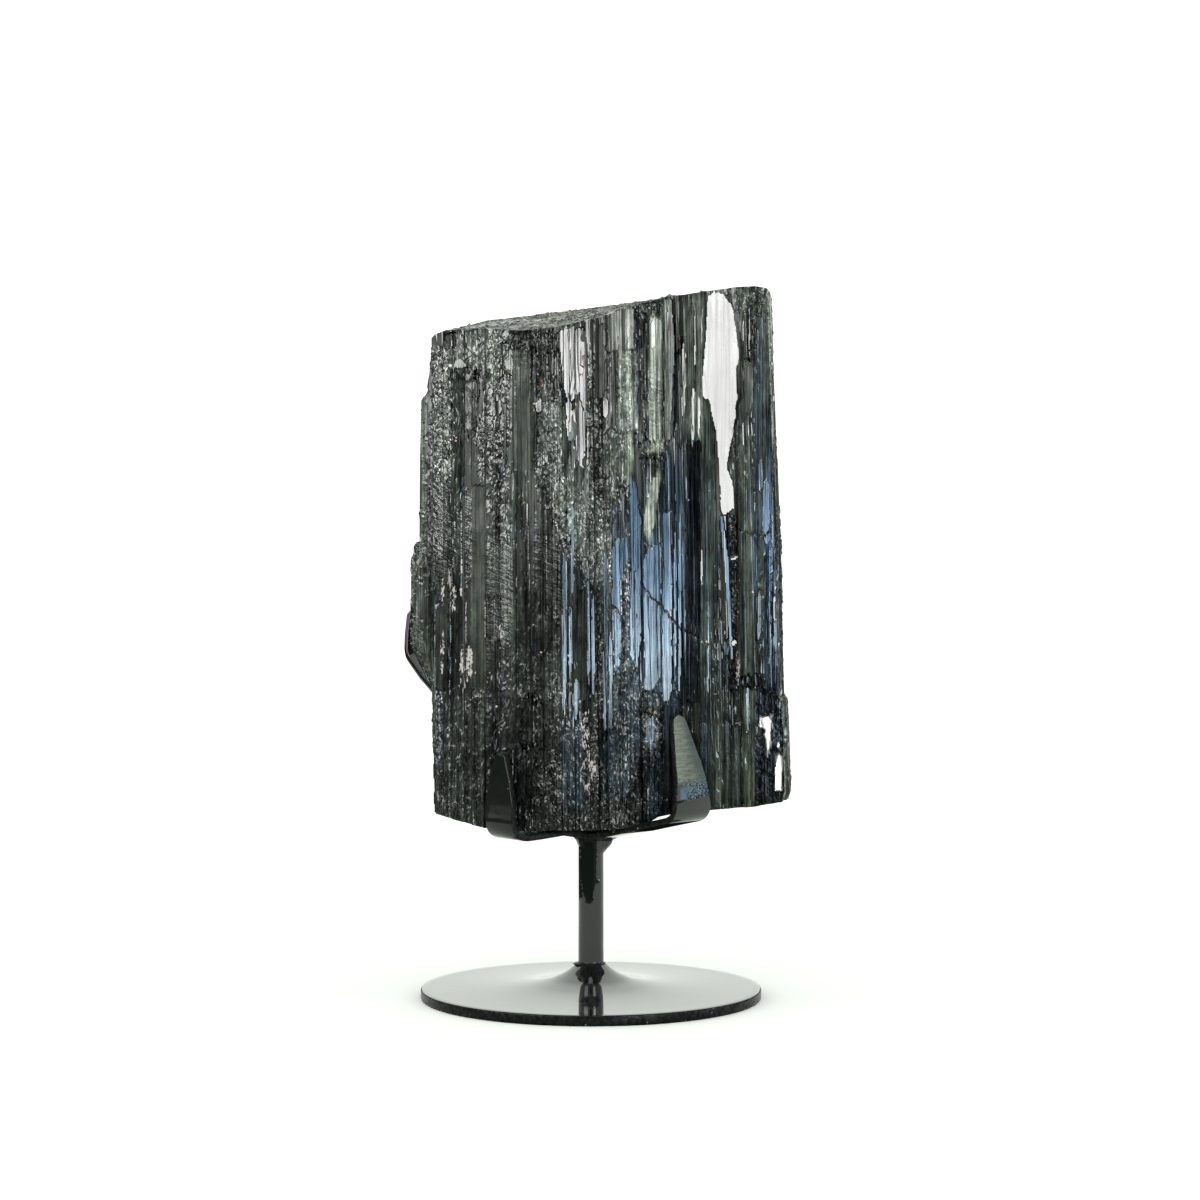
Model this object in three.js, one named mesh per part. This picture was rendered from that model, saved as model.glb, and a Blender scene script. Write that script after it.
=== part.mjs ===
import * as THREE from 'three';

// Black tourmaline crystal held upright in a welded steel stand.
// Millimetres, +Z up, the crystal's broad front face toward -Y.

const DISC_RADIUS = 50.8;
const DISC_THICKNESS = 3.1;
const FLARE_RADIUS = 5.7;
const FLARE_HEIGHT = 10.4;
const DISC_SIDES = 48;

const STEM_RADIUS = 3.8;
const STEM_TOP = 48.3;
const STEM_SIDES = 20;

const STRAP_THICKNESS = 1.9;
const STRAP_EDGE = 0.35;
const LOWER_BAR_ANGLE = THREE.MathUtils.degToRad(-49);
const UPPER_BAR_ANGLE = THREE.MathUtils.degToRad(-139);
const LOWER_BAR_WIDTH = 12.6;
const UPPER_BAR_WIDTH = 10.8;

const FRONT_DEPTH = 22;
const FRONT_TURN = 0.14;
const BACK_DEPTH = 45;
const BACK_TURN = 0.3;
const MID_HEIGHT = 130;
const UPPER_ZONE = 190;
const LOWER_ZONE = 92.5;

const gloss = new THREE.MeshStandardMaterial({ color: 0x0b0d0c, metalness: 0.1, roughness: 0.18 });
const mineral = new THREE.MeshStandardMaterial({ color: 0x101413, metalness: 0.0, roughness: 0.22 });

// Piecewise-linear value of a table of [position, value] rows.
function along(table, t) {
  if (t <= table[0][0]) return table[0][1];
  for (let i = 1; i < table.length; i += 1) {
    const [a, va] = table[i - 1];
    const [b, vb] = table[i];
    if (t <= b) return va + ((vb - va) * (t - a)) / (b - a);
  }
  return table[table.length - 1][1];
}

// Repeatable value in -1..1 for a pair of whole numbers.
function scatter(i, j) {
  const s = Math.sin(i * 127.1 + j * 311.7) * 43758.5453;
  return 2 * (s - Math.floor(s)) - 1;
}

// Closed solid through rings of equal length, with a point closing each end.
function solidFromRings(rings, first, last) {
  const count = rings[0].length;
  const position = [...first];
  rings.forEach((ring) => ring.forEach((p) => position.push(...p)));
  position.push(...last);
  const end = rings.length * count + 1;
  const at = (r, k) => 1 + r * count + (k % count);
  const index = [];
  for (let k = 0; k < count; k += 1) {
    index.push(0, at(0, k + 1), at(0, k));
    index.push(end, at(rings.length - 1, k), at(rings.length - 1, k + 1));
    for (let r = 0; r + 1 < rings.length; r += 1) {
      index.push(at(r, k), at(r, k + 1), at(r + 1, k + 1));
      index.push(at(r, k), at(r + 1, k + 1), at(r + 1, k));
    }
  }
  const geometry = new THREE.BufferGeometry();
  geometry.setAttribute('position', new THREE.Float32BufferAttribute(position, 3));
  geometry.setIndex(index);
  geometry.computeVertexNormals();
  return geometry;
}

function part(name, geometry, material) {
  const mesh = new THREE.Mesh(geometry, material);
  mesh.name = name;
  return mesh;
}

// Round foot: thin disc drawn up in the middle into a trumpet-shaped boss.
function baseDisc() {
  const profile = [
    [50.3, 0],
    [DISC_RADIUS, 0.5],
    [DISC_RADIUS, 2.7],
    [50.4, DISC_THICKNESS],
    [38, DISC_THICKNESS + 0.05],
    [29, 3.65],
    [21, 4.6],
    [15.2, 5.7],
    [11.4, 7.0],
    [8.4, 8.6],
    [6.6, 9.9],
    [FLARE_RADIUS, FLARE_HEIGHT],
  ];
  const rings = profile.map(([r, z]) => {
    const ring = [];
    for (let k = 0; k < DISC_SIDES; k += 1) {
      const a = (2 * Math.PI * k) / DISC_SIDES;
      ring.push([r * Math.cos(a), r * Math.sin(a), z]);
    }
    return ring;
  });
  return solidFromRings(rings, [0, 0, 0], [0, 0, FLARE_HEIGHT]);
}

// Round rod with a weld bead at its foot and a larger one-sided fillet under the cradle.
function stem() {
  const bead = [
    [FLARE_HEIGHT, 1.0],
    [11.2, 1.0],
    [12.2, 0.5],
    [13.4, 0.12],
    [14.6, 0],
    [43.2, 0],
    [STEM_TOP, 1],
  ];
  const heights = [FLARE_HEIGHT, 11.2, 12.2, 13.4, 14.6, 30, 43.2, 44.6, 46.2, 47.4, STEM_TOP];
  const rings = heights.map((z, row) => {
    const ring = [];
    for (let k = 0; k < STEM_SIDES; k += 1) {
      const a = (2 * Math.PI * k) / STEM_SIDES;
      const upper = z > 43;
      const reach = upper ? 1 + 4.4 * Math.max(0, Math.cos(a)) ** 2 : 1;
      const lump = z > 14.5 && z < 43.5 ? 0 : 0.14 * scatter(k, row);
      const r = STEM_RADIUS + along(bead, z) * reach + lump;
      ring.push([r * Math.cos(a), r * Math.sin(a), z]);
    }
    return ring;
  });
  return solidFromRings(rings, [0, 0, FLARE_HEIGHT], [0, 0, STEM_TOP]);
}

// Round the corners of a [reach, height] line.
function roundCorners(points, radii, steps) {
  const line = [points[0]];
  for (let i = 1; i + 1 < points.length; i += 1) {
    const corner = new THREE.Vector2(...points[i]);
    const back = new THREE.Vector2(...points[i - 1]).sub(corner).normalize();
    const ahead = new THREE.Vector2(...points[i + 1]).sub(corner).normalize();
    const half = Math.acos(THREE.MathUtils.clamp(back.dot(ahead), -1, 1)) / 2;
    const reach = radii[i] / Math.tan(half);
    const from = corner.clone().addScaledVector(back, reach);
    const to = corner.clone().addScaledVector(ahead, reach);
    const n = radii[i] > 0 ? steps : 0;
    for (let k = 0; k <= n; k += 1) {
      const t = n ? k / n : 0;
      const p = from.clone().multiplyScalar((1 - t) * (1 - t));
      p.addScaledVector(corner, 2 * t * (1 - t)).addScaledVector(to, t * t);
      line.push([p.x, p.y]);
    }
  }
  line.push(points[points.length - 1]);
  return line;
}

// Flat strap bent along a line in the upright plane at an angle; widths go with height on a prong.
function strap(line, angle, widthAt) {
  const dir = new THREE.Vector3(Math.cos(angle), Math.sin(angle), 0);
  const side = new THREE.Vector3(-dir.y, dir.x, 0);
  const rings = line.map(([r, z], i) => {
    const a = line[Math.max(0, i - 1)];
    const b = line[Math.min(line.length - 1, i + 1)];
    const run = new THREE.Vector2(b[0] - a[0], b[1] - a[1]).normalize();
    const half = widthAt(r, z) / 2;
    const thick = STRAP_THICKNESS / 2;
    const e = Math.min(STRAP_EDGE, half * 0.6);
    const section = [
      [half, thick - e],
      [half - e, thick],
      [e - half, thick],
      [-half, thick - e],
      [-half, e - thick],
      [e - half, -thick],
      [half - e, -thick],
      [half, e - thick],
    ];
    return section.map(([w, t]) => {
      const reach = r - run.y * t;
      const rise = z + run.x * t;
      return [dir.x * reach + side.x * w, dir.y * reach + side.y * w, rise];
    });
  });
  const mid = (ring) => [0, 1, 2].map((c) => ring.reduce((s, p) => s + p[c], 0) / ring.length);
  return solidFromRings(rings, mid(rings[0]), mid(rings[rings.length - 1]));
}

// Width near a rounded, tapered tip at a given distance below the tip.
function tipWidth(drop, taper, tip, full) {
  const round = [
    [0, 1.0],
    [0.25, tip * 0.55],
    [0.8, tip * 0.82],
    [2.0, tip],
    [taper, full],
  ];
  return along(round, drop);
}

// Insert points just below a tip so that its round end is followed.
function tipPoints(tip, next) {
  const a = new THREE.Vector2(...tip);
  const run = new THREE.Vector2(...next).sub(a).normalize();
  return [0, 0.25, 0.8, 2.0, 9].map((d) => {
    const p = a.clone().addScaledVector(run, d);
    return [p.x, p.y];
  });
}

// Strap from the front-right prong, under the crystal, to the back-left prong.
function lowerBar() {
  const z = STEM_TOP + STRAP_THICKNESS / 2;
  const points = [[39.2, 86.5], [44.9, 57.6], [8, z], [-9.5, z], [-74.6, 92.6], [-82.7, 99.2], [-84.0, 113.6]];
  const bent = roundCorners(points, [0, 4.2, 8, 11, 10, 7, 0], 4);
  const front = tipPoints(points[0], points[1]);
  const back = tipPoints(points[6], points[5]).slice(0, 4).reverse();
  const line = [...front, ...bent.slice(1, -1), ...back];
  return strap(line, LOWER_BAR_ANGLE, (r, h) => {
    if (r > 38.9 && h > 58) return tipWidth(86.5 - h, 26, 4.4, LOWER_BAR_WIDTH);
    if (r < -78 && h > 97) return tipWidth(113.6 - h, 15, 8.6, LOWER_BAR_WIDTH);
    return LOWER_BAR_WIDTH;
  });
}

// Strap from the front-left prong, over the lower strap, to the back-right prong.
function upperBar() {
  const z = STEM_TOP + STRAP_THICKNESS * 1.5;
  const points = [[34.2, 75.3], [35.1, 49.3], [22.5, 48.9], [8.5, z], [-8.5, z], [-57.0, 75.2], [-57.6, 103]];
  const bent = roundCorners(points, [0, 3.0, 16, 10, 8, 6, 0], 4);
  const front = tipPoints(points[0], points[1]);
  const back = tipPoints(points[6], points[5]).reverse();
  const line = [...front, ...bent.slice(1, -1), ...back];
  return strap(line, UPPER_BAR_ANGLE, (r, h) => {
    if (r > 30 && h > 52) return tipWidth(75.3 - h, 20, 4.4, UPPER_BAR_WIDTH);
    if (r < -50 && h > 80) return tipWidth(103 - h, 22, 4.4, UPPER_BAR_WIDTH);
    return UPPER_BAR_WIDTH;
  });
}

// Ribs of the front face at mid height: across, relief outward.
const FRONT_RIBS = [
  [-46.0, -0.2],
  [-43.3, -1.1],
  [-40.7, -0.3],
  [-37.3, -0.9],
  [-34.9, 0.1],
  [-30.9, 0.2],
  [-30.3, -0.7],
  [-26.3, -0.4],
  [-23.9, 0.2],
  [-22.5, 1.2],
  [-21.6, 0.5],
  [-17.6, 0.4],
  [-16.9, -0.6],
  [-14.4, -0.3],
  [-11.2, -1.0],
  [-8.9, -0.3],
  [-8.3, 0.8],
  [-5.4, 0.9],
  [-4.7, 0.2],
  [-4.0, 0.8],
  [-1.1, 0.6],
  [-0.4, -0.4],
  [1.0, -0.3],
  [1.6, -1.2],
  [3.6, -1.2],
  [4.2, 0.2],
  [8.5, 0.5],
  [13.1, 0.2],
  [14.3, -1.1],
  [15.4, -0.9],
  [16.2, 0.9],
  [20.6, 0.8],
  [21.4, -0.2],
  [23.5, -0.8],
  [25.7, -0.7],
  [26.3, 0.4],
  [27.6, 0.5],
  [28.3, -0.7],
  [30.2, -0.7],
  [31.0, 0.6],
  [36.3, 0.2],
  [39.2, -0.2],
  [40.0, -1.1],
  [42.4, -1.2],
  [43.2, 0.4],
  [46.7, 0.4],
  [47.4, -1.0],
  [49.0, -0.8],
  [51.0, -1.5],
  [53.4, -2.8],
];

// Corners of the right side, the back and the left side at mid height.
const RIGHT_SIDE = [
  [54.8, -22.6],
  [55.5, -17.5],
  [54.8, -15.8],
  [55.7, -9.5],
  [55.6, -2.0],
  [54.3, -0.8],
  [54.8, 7.0],
  [53.2, 8.2],
  [53.6, 16.5],
  [51.6, 24.0],
];
const BACK_RIBS = [
  [48.6, -2.2],
  [43.5, -0.4],
  [41.8, -1.5],
  [35.5, -1.2],
  [34.0, 0.3],
  [27.0, 0.5],
  [25.6, -0.9],
  [18.5, -0.6],
  [16.8, 0.9],
  [9.0, 1.0],
  [7.6, -0.2],
  [0.5, -0.8],
  [-1.0, 0.5],
  [-9.5, 0.2],
  [-11.0, -1.4],
  [-17.0, -1.1],
  [-19.0, 0.6],
  [-27.5, 0.7],
  [-29.0, -0.5],
  [-36.0, -0.9],
  [-37.5, 0.2],
  [-45.0, -1.6],
];
const LEFT_SIDE = [
  [-50.0, 54.2],
  [-51.6, 46.5],
  [-50.2, 45.0],
  [-50.8, 34.0],
  [-52.0, 32.6],
  [-51.6, 20.5],
  [-50.1, 19.0],
  [-50.9, 8.0],
  [-50.5, 0.0],
  [-50.3, -7.0],
  [-48.6, -12.5],
];

// Outline of the left side, which steps out below one ledge and ends on another.
const LEFT_EDGE = [
  [59, 4.2],
  [71, 3.9],
  [92, 3.5],
  [95.5, 1.6],
  [104.5, -2.6],
  [133, -2.5],
  [135.5, 0.0],
  [162, 0.2],
  [178.5, 0.7],
  [181.5, 2.4],
  [190, 3.4],
  [196, 4.0],
];

// Outline of the right side, which swells slightly and steps out low down.
const RIGHT_EDGE = [
  [60.5, 1.6],
  [64, 2.9],
  [69, 3.1],
  [91, 2.2],
  [92.5, 1.0],
  [113, 0.4],
  [137, 0],
  [160, -0.9],
  [184, -1.8],
  [207, -2.7],
];

// Height of the broken upper end along the front, and its slope toward the back.
const TOP_FRONT = [
  [-47.5, 193.0],
  [-44, 197.2],
  [-40, 198.2],
  [-32, 198.6],
  [-20.5, 197.8],
  [-9, 199.0],
  [2.7, 201.6],
  [14.3, 205.4],
  [22, 207.3],
  [31.4, 208.5],
  [40.6, 209.8],
  [48.7, 210.2],
  [52.5, 209.8],
  [54.5, 208.4],
];
const TOP_SLOPE = [
  [-45, 0.035],
  [-32, 0.06],
  [-20.5, 0.095],
  [-9, 0.105],
  [2.7, 0.095],
  [14.5, 0.062],
  [27, 0.03],
  [50, -0.02],
];

// Height of the lower end along the front, and its rise toward the back beyond the stem.
const BOTTOM_FRONT = [
  [-46, 56.7],
  [-38, 54.4],
  [-31, 52.7],
  [-18, 51.9],
  [-8, 52.4],
  [4, 52.6],
  [10.8, 54.6],
  [18.3, 56.4],
  [26, 58.2],
  [34.4, 58.9],
  [46.8, 60.0],
  [56, 61.6],
];
const BOTTOM_RISE = [
  [-50, 0.76],
  [0, 0.67],
  [20, 0.55],
  [50, 0.54],
];

// Local relief on the front: across from..to, height from..to, depth outward.
const FRONT_RELIEF = [
  [-43.5, -39.5, 193, 198, -1.8],
  [-40.8, -33.0, 172, 187.5, -1.3],
  [-34.5, -31.5, 181.5, 187.5, -1.6],
  [-26.5, -23.0, 181.5, 193, -1.4],
  [-17.0, -9.0, 187.5, 198, -1.3],
  [-16.0, -9.5, 150, 178.5, -0.7],
  [1.2, 4.0, 178.5, 202, -1.5],
  [4.0, 8.6, 172, 178.5, 0.5],
  [13.0, 19.5, 202, 207, -1.5],
  [15.8, 21.0, 92.5, 163.5, -0.9],
  [27.8, 30.6, 95.5, 166, -0.8],
  [39.3, 43.0, 92.5, 146.5, -1.1],
  [42.6, 49.0, 92.5, 95.5, -2.0],
  [47.0, 56.0, 60, 92.5, -1.7],
  [-16.0, -3.0, 66, 109, -1.2],
  [-30.0, -23.4, 95.5, 127, -0.8],
  [-24.2, -21.0, 55, 104.5, -1.4],
  [16.0, 21.0, 60, 92.5, -1.1],
  [30.5, 43.0, 144.5, 212, 0.5],
];

const LEVELS = [
  187.5, 181.5, 178.5, 172, 166, 163.5, 157, 150, 146.5, 144.5, 140, 135.5,
  133, 127, 121, 115, 109, 104.5, 100, 97.5, 95.5,
];
const UPPER_STEPS = [1, 0.55];
const LOWER_STEPS = [0.06, 0.24, 0.43, 0.62, 0.82, 1];

function frontPlane(x) {
  return -FRONT_DEPTH - FRONT_TURN * x;
}

function topHeight(x, y) {
  return along(TOP_FRONT, x) + along(TOP_SLOPE, x) * (y - frontPlane(x));
}

function bottomHeight(x, y) {
  return along(BOTTOM_FRONT, x) + along(BOTTOM_RISE, x) * Math.max(0, y);
}

// Ledges and hollows of a broken end.
function brokenRelief(x, y) {
  const ledge = y > 16 - 0.35 * x ? 0.8 : -0.5;
  const hollow = -0.8 * Math.exp(-((x + 18) ** 2 + (y - 20) ** 2) / 160);
  return ledge + hollow + 0.35 * Math.sin(0.41 * x + 0.2 * y) * Math.cos(0.33 * y - 0.15 * x);
}

// Each upright line of the crystal: mid-height place, outward direction and side.
function uprights() {
  const front = FRONT_RIBS.map(([x, d]) => ({ x, y: frontPlane(x) - d, side: 'front' }));
  const right = RIGHT_SIDE.map(([x, y]) => ({ x, y, side: 'right' }));
  const back = BACK_RIBS.map(([x, d]) => ({ x, y: BACK_DEPTH - BACK_TURN * x + d, side: 'back' }));
  const left = LEFT_SIDE.map(([x, y]) => ({ x, y, side: 'left' }));
  return [...front, ...right, ...back, ...left];
}

// The striations fan apart downward by a degree or two.
function fan(x) {
  return along([[-50, 0.018], [-42, -0.004], [-22, 0], [15, 0.024], [54, 0.03]], x);
}

function reliefAt(x, z) {
  let depth = 0;
  FRONT_RELIEF.forEach(([x0, x1, z0, z1, d]) => {
    if (x >= x0 && x <= x1 && z >= z0 && z <= z1) depth += d;
  });
  return depth;
}

function columnPoint(line, k, z, row) {
  let { x, y } = line;
  const rough = 0.2 * scatter(k, row);
  if (line.side === 'front') {
    y -= reliefAt(x, z) + rough;
    const out = x > 50 ? along(RIGHT_EDGE, z) * ((x - 50) / 4) : 0;
    x += x > 50 ? out : fan(x) * (MID_HEIGHT - z);
  } else if (line.side === 'right') {
    x += along(RIGHT_EDGE, z) + 0.5 * rough;
  } else if (line.side === 'left') {
    x += along(LEFT_EDGE, z) * (y < -10 ? 0.6 : 1) + 0.5 * rough;
  } else {
    y += 2 * rough + 0.02 * (MID_HEIGHT - z);
    x += fan(x) * (MID_HEIGHT - z);
  }
  return [x, y, z];
}

// One natural solid: ribbed columns between a broken upper end and a broken lower end.
function crystal() {
  const lines = uprights();
  const endPoint = (line, k, row, share, start, height) => {
    let z = start;
    let p = [line.x, line.y, start];
    for (let i = 0; i < 4; i += 1) {
      z = start + share * (height(p[0], p[1]) - start);
      p = columnPoint(line, k, z, row);
    }
    return p;
  };
  const rings = [];
  UPPER_STEPS.forEach((share, r) => {
    rings.push(lines.map((line, k) => endPoint(line, k, r, share, UPPER_ZONE, topHeight)));
  });
  LEVELS.forEach((z, r) => {
    rings.push(lines.map((line, k) => columnPoint(line, k, z, r + 5)));
  });
  LOWER_STEPS.forEach((share, r) => {
    rings.push(lines.map((line, k) => endPoint(line, k, r + 40, share, LOWER_ZONE, bottomHeight)));
  });
  const centre = [2, 12];
  const upperEnd = (x, y) => topHeight(x, y) + brokenRelief(x, y);
  const lowerEnd = (x, y) => bottomHeight(x, y) + 0.3 + 0.5 * Math.abs(brokenRelief(x, y));
  const inward = (ring, share, height) => ring.map(([x, y]) => {
    const px = centre[0] + (x - centre[0]) * share;
    const py = centre[1] + (y - centre[1]) * share;
    return [px, py, height(px, py)];
  });
  const upper = [0.3, 0.6, 0.88].map((share) => inward(rings[0], share, upperEnd));
  const last = rings[rings.length - 1];
  const lower = [0.88, 0.6, 0.3].map((share) => inward(last, share, lowerEnd));
  const all = [...upper, ...rings, ...lower].reverse();
  const low = [...centre, lowerEnd(...centre)];
  const high = [...centre, upperEnd(...centre)];
  return solidFromRings(all, low, high);
}

const group = new THREE.Group();
group.name = 'black_tourmaline';
group.add(part('base_disc', baseDisc(), gloss));
group.add(part('stem', stem(), gloss));
group.add(part('cradle_bar_lower', lowerBar(), gloss));
group.add(part('cradle_bar_upper', upperBar(), gloss));
group.add(part('tourmaline', crystal(), mineral));

export default group;
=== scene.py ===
import math

import bpy
import numpy as np
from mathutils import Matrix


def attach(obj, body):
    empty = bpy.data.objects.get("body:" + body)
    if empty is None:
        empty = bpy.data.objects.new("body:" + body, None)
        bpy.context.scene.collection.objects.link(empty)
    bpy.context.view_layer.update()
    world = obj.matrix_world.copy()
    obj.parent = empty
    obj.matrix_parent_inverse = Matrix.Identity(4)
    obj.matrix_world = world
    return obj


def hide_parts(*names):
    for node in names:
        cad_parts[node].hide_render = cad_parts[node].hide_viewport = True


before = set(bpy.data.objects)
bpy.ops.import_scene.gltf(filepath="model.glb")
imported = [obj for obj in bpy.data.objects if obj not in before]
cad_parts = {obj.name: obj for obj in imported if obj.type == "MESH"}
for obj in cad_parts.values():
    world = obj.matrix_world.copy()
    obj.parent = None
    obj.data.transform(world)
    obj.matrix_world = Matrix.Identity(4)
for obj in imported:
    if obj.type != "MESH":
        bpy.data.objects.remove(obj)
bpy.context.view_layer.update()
scene = bpy.context.scene
MM = 0.001


# ---------------------------------------------------------------- repeatable noise

def hash01(i, j, seed):
    """Repeatable value in 0..1 for whole-number arrays."""
    n = (i.astype(np.int64) * 374761393 + j.astype(np.int64) * 668265263 + seed * 974634777)
    n = (n ^ (n >> 13)) * 1274126177
    n = (n ^ (n >> 16)) & 0x7FFFFFFF
    return (n % 1000003) / 1000003.0


def value_noise(x, y, seed):
    """Smooth noise in -1..1 on a grid of one unit."""
    ix, iy = np.floor(x), np.floor(y)
    fx, fy = x - ix, y - iy
    fx, fy = fx * fx * (3 - 2 * fx), fy * fy * (3 - 2 * fy)
    a, b = hash01(ix, iy, seed), hash01(ix + 1, iy, seed)
    c, d = hash01(ix, iy + 1, seed), hash01(ix + 1, iy + 1, seed)
    return 2 * ((a + (b - a) * fx) * (1 - fy) + (c + (d - c) * fx) * fy) - 1


def broken_facets(x, y, seed, slope, step):
    """Small flat facets at random slopes, as on a hackly break; x and y in cells."""
    ix, iy = np.floor(x), np.floor(y)
    best = np.full(x.shape, 1e9)
    out = np.zeros(x.shape)
    for di in (-1, 0, 1):
        for dj in (-1, 0, 1):
            ci, cj = ix + di, iy + dj
            dx = x - ci - 0.15 - 0.7 * hash01(ci, cj, seed)
            dy = y - cj - 0.15 - 0.7 * hash01(ci, cj, seed + 1)
            dist = dx * dx + dy * dy
            plane = slope * (2 * hash01(ci, cj, seed + 2) - 1) * dx
            plane += slope * (2 * hash01(ci, cj, seed + 3) - 1) * dy
            plane += step * (2 * hash01(ci, cj, seed + 4) - 1)
            near = dist < best
            best = np.where(near, dist, best)
            out = np.where(near, plane, out)
    return out


def hackly_break(x, z, seed):
    """Relief of a hackly break in millimetres: facets of about 3 mm and 1 mm with bent borders."""
    wx = x + 0.9 * value_noise(x * 0.35, z * 0.22, seed + 40)
    wz = z + 1.3 * value_noise(x * 0.3, z * 0.25, seed + 41)
    coarse = 2.6 * broken_facets(wx / 2.6, wz / 3.6, seed, 0.26, 0.10)
    small = 1.1 * broken_facets(wx / 1.1, wz / 1.7, seed + 10, 0.45, 0.12)
    return coarse + small


def smooth(a, b, x):
    """0 at a, 1 at b, with soft ends."""
    t = np.clip((x - a) / (b - a), 0, 1)
    return t * t * (3 - 2 * t)


def slats(a, z, seed, width, length, turn):
    """Upright strips of uneven width and length, each a plane turned a little left or right."""
    across = a / width + 0.8 * value_noise(a / width * 0.37, z * 0.004, seed)
    i = np.floor(across)
    ragged = 0.25 * value_noise(a * 1.3, z * 0.6, seed + 2)
    j = np.floor(z / length + 7 * hash01(i, i, seed + 1) + ragged)
    pick = 2 * hash01(i, j, seed + 3) - 1
    rise = 0.02 * (2 * hash01(i, j, seed + 4) - 1)
    return width * (math.tan(math.radians(turn)) * pick * (across - i - 0.5) + rise)


# ---------------------------------------------------------------- the crystal's base form, in millimetres

# The front and the back are planes: their distance from the middle, their slope and their ends' x.
FRONT_DEPTH, FRONT_TURN, FRONT_ENDS = 22.0, 0.14, (-46.0, 53.4)
BACK_DEPTH, BACK_TURN, BACK_ENDS = 45.0, 0.30, (48.6, -45.0)
MID_HEIGHT = 130.0
FINE_SPACING, SPACING = 0.27, 0.5
CRYSTAL_ROWS, CRYSTAL_TRIANGLES = 316, 190000
RIGHTMOST, TOPMOST = 58.6, 210.5    # just inside the CAD's box

RIGHT_SIDE = [(53.4, -26.8), (53.9, -26.6), (54.0, -24.6), (54.7, -24.3), (54.8, -21.4), (55.4, -21.0),
              (55.4, -16.4), (55.0, -15.8), (55.7, -15.4), (55.7, -9.5), (55.6, -2.0),
              (54.3, -0.8), (54.8, 7.0), (53.2, 8.2), (53.6, 16.5), (51.6, 24.0), (48.6, 28.2)]
LEFT_SIDE = [(-45.0, 56.9), (-50.0, 54.2), (-51.6, 46.5), (-50.2, 45.0), (-50.8, 34.0), (-52.0, 32.6),
             (-51.8, 20.5), (-50.9, 20.1), (-51.2, 8.0), (-50.3, 7.6), (-50.4, 0.2), (-49.0, -0.4),
             (-49.3, -6.6), (-48.0, -7.4), (-48.2, -11.8), (-46.6, -12.6), (-46.0, -15.6)]
LEFT_EDGE = [(59, 4.2), (71, 3.9), (92, 3.5), (95.5, 1.6), (104.5, -2.6), (131.8, -2.5), (132.3, -1.8),
             (135.4, -1.7), (136.0, 0.0), (162, 0.2), (178.5, 0.7), (181.0, 2.4), (190, 3.4), (196, 4.0)]
RIGHT_EDGE = [(60.5, 1.4), (64, 2.4), (69, 2.5), (91, 1.8), (92.0, 0.9), (113, 0.4), (137, 0),
              (160, -0.9), (184, -1.8), (207, -2.7)]
TOP_FRONT = [(-47.5, 194.6), (-45.5, 196.9), (-43, 197.9), (-40, 198.2), (-32, 198.6), (-20.5, 197.8),
             (-9, 199.0), (2.7, 201.6), (14.3, 205.4), (22, 207.3), (31.4, 208.5), (40.6, 209.8),
             (47.0, 210.2), (50, 209.7), (52, 208.9), (53, 207.6), (54.5, 206.5)]
TOP_SLOPE = [(-45, 0.045), (-32, 0.078), (-20.5, 0.108), (-9, 0.112), (2.7, 0.095), (14.5, 0.062),
             (27, 0.03), (50, -0.02)]
BOTTOM_FRONT = [(-46, 56.7), (-38, 54.4), (-31, 52.7), (-18, 51.9), (-8, 52.4), (4, 52.6), (10.8, 53.4),
                (15.2, 54.3), (17.8, 55.5), (19.6, 56.7), (26, 58.1), (34.4, 58.9), (46.8, 60.0), (56, 61.6)]
BOTTOM_RISE = [(-50, 0.76), (0, 0.67), (20, 0.55), (50, 0.54)]
FAN = [(-50, 0.018), (-42, -0.004), (-22, 0), (15, 0.024), (54, 0.03)]

# Front ribs at mid height: across, relief outward.
FRONT_RIBS = [
    (-46.0, -0.2), (-43.4, -1.1), (-43.1, -0.5), (-40.8, -0.9), (-40.5, 0.1), (-37.3, -0.3), (-37.0, -0.8),
    (-34.9, -0.5), (-34.6, 0.3), (-30.9, 0.3), (-30.6, -0.6), (-28.6, -0.4), (-28.3, 0.1), (-26.3, -0.3),
    (-23.9, 0.1), (-22.7, 0.6), (-22.3, 0.6), (-21.6, 0.5), (-17.6, 0.4), (-17.3, -0.5), (-14.4, -0.3),
    (-14.0, -0.9), (-11.2, -0.9), (-8.9, -0.4), (-8.6, 0.7), (-5.4, 0.3), (-5.1, -0.1), (-4.1, -0.1),
    (-3.9, 0.6), (-1.1, 0.2), (-0.8, -0.4), (1.2, -0.3), (1.5, -1.1), (3.8, -1.0), (4.2, 0.3), (6.4, 0.5),
    (6.7, 0.2), (8.9, 0.4), (9.2, 0.0), (13.2, -0.1), (13.6, -0.9), (15.2, -0.8), (15.6, 0.6), (20.8, 0.1),
    (21.1, -0.3), (24.6, -0.6), (24.9, -1.0), (25.9, -0.9), (26.3, 0.4), (27.6, 0.4), (28.1, -0.9),
    (30.4, -0.8), (30.8, 0.4), (33.6, 0.4), (33.9, 0.1), (36.6, 0.1), (36.8, -0.2), (39.2, -0.2),
    (39.6, -1.0), (42.4, -1.0), (42.8, 0.3), (46.7, 0.2), (47.1, -0.9), (49.4, -0.8), (49.8, -0.6),
    (51.5, -0.8), (53.4, -1.0),
]
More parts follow.
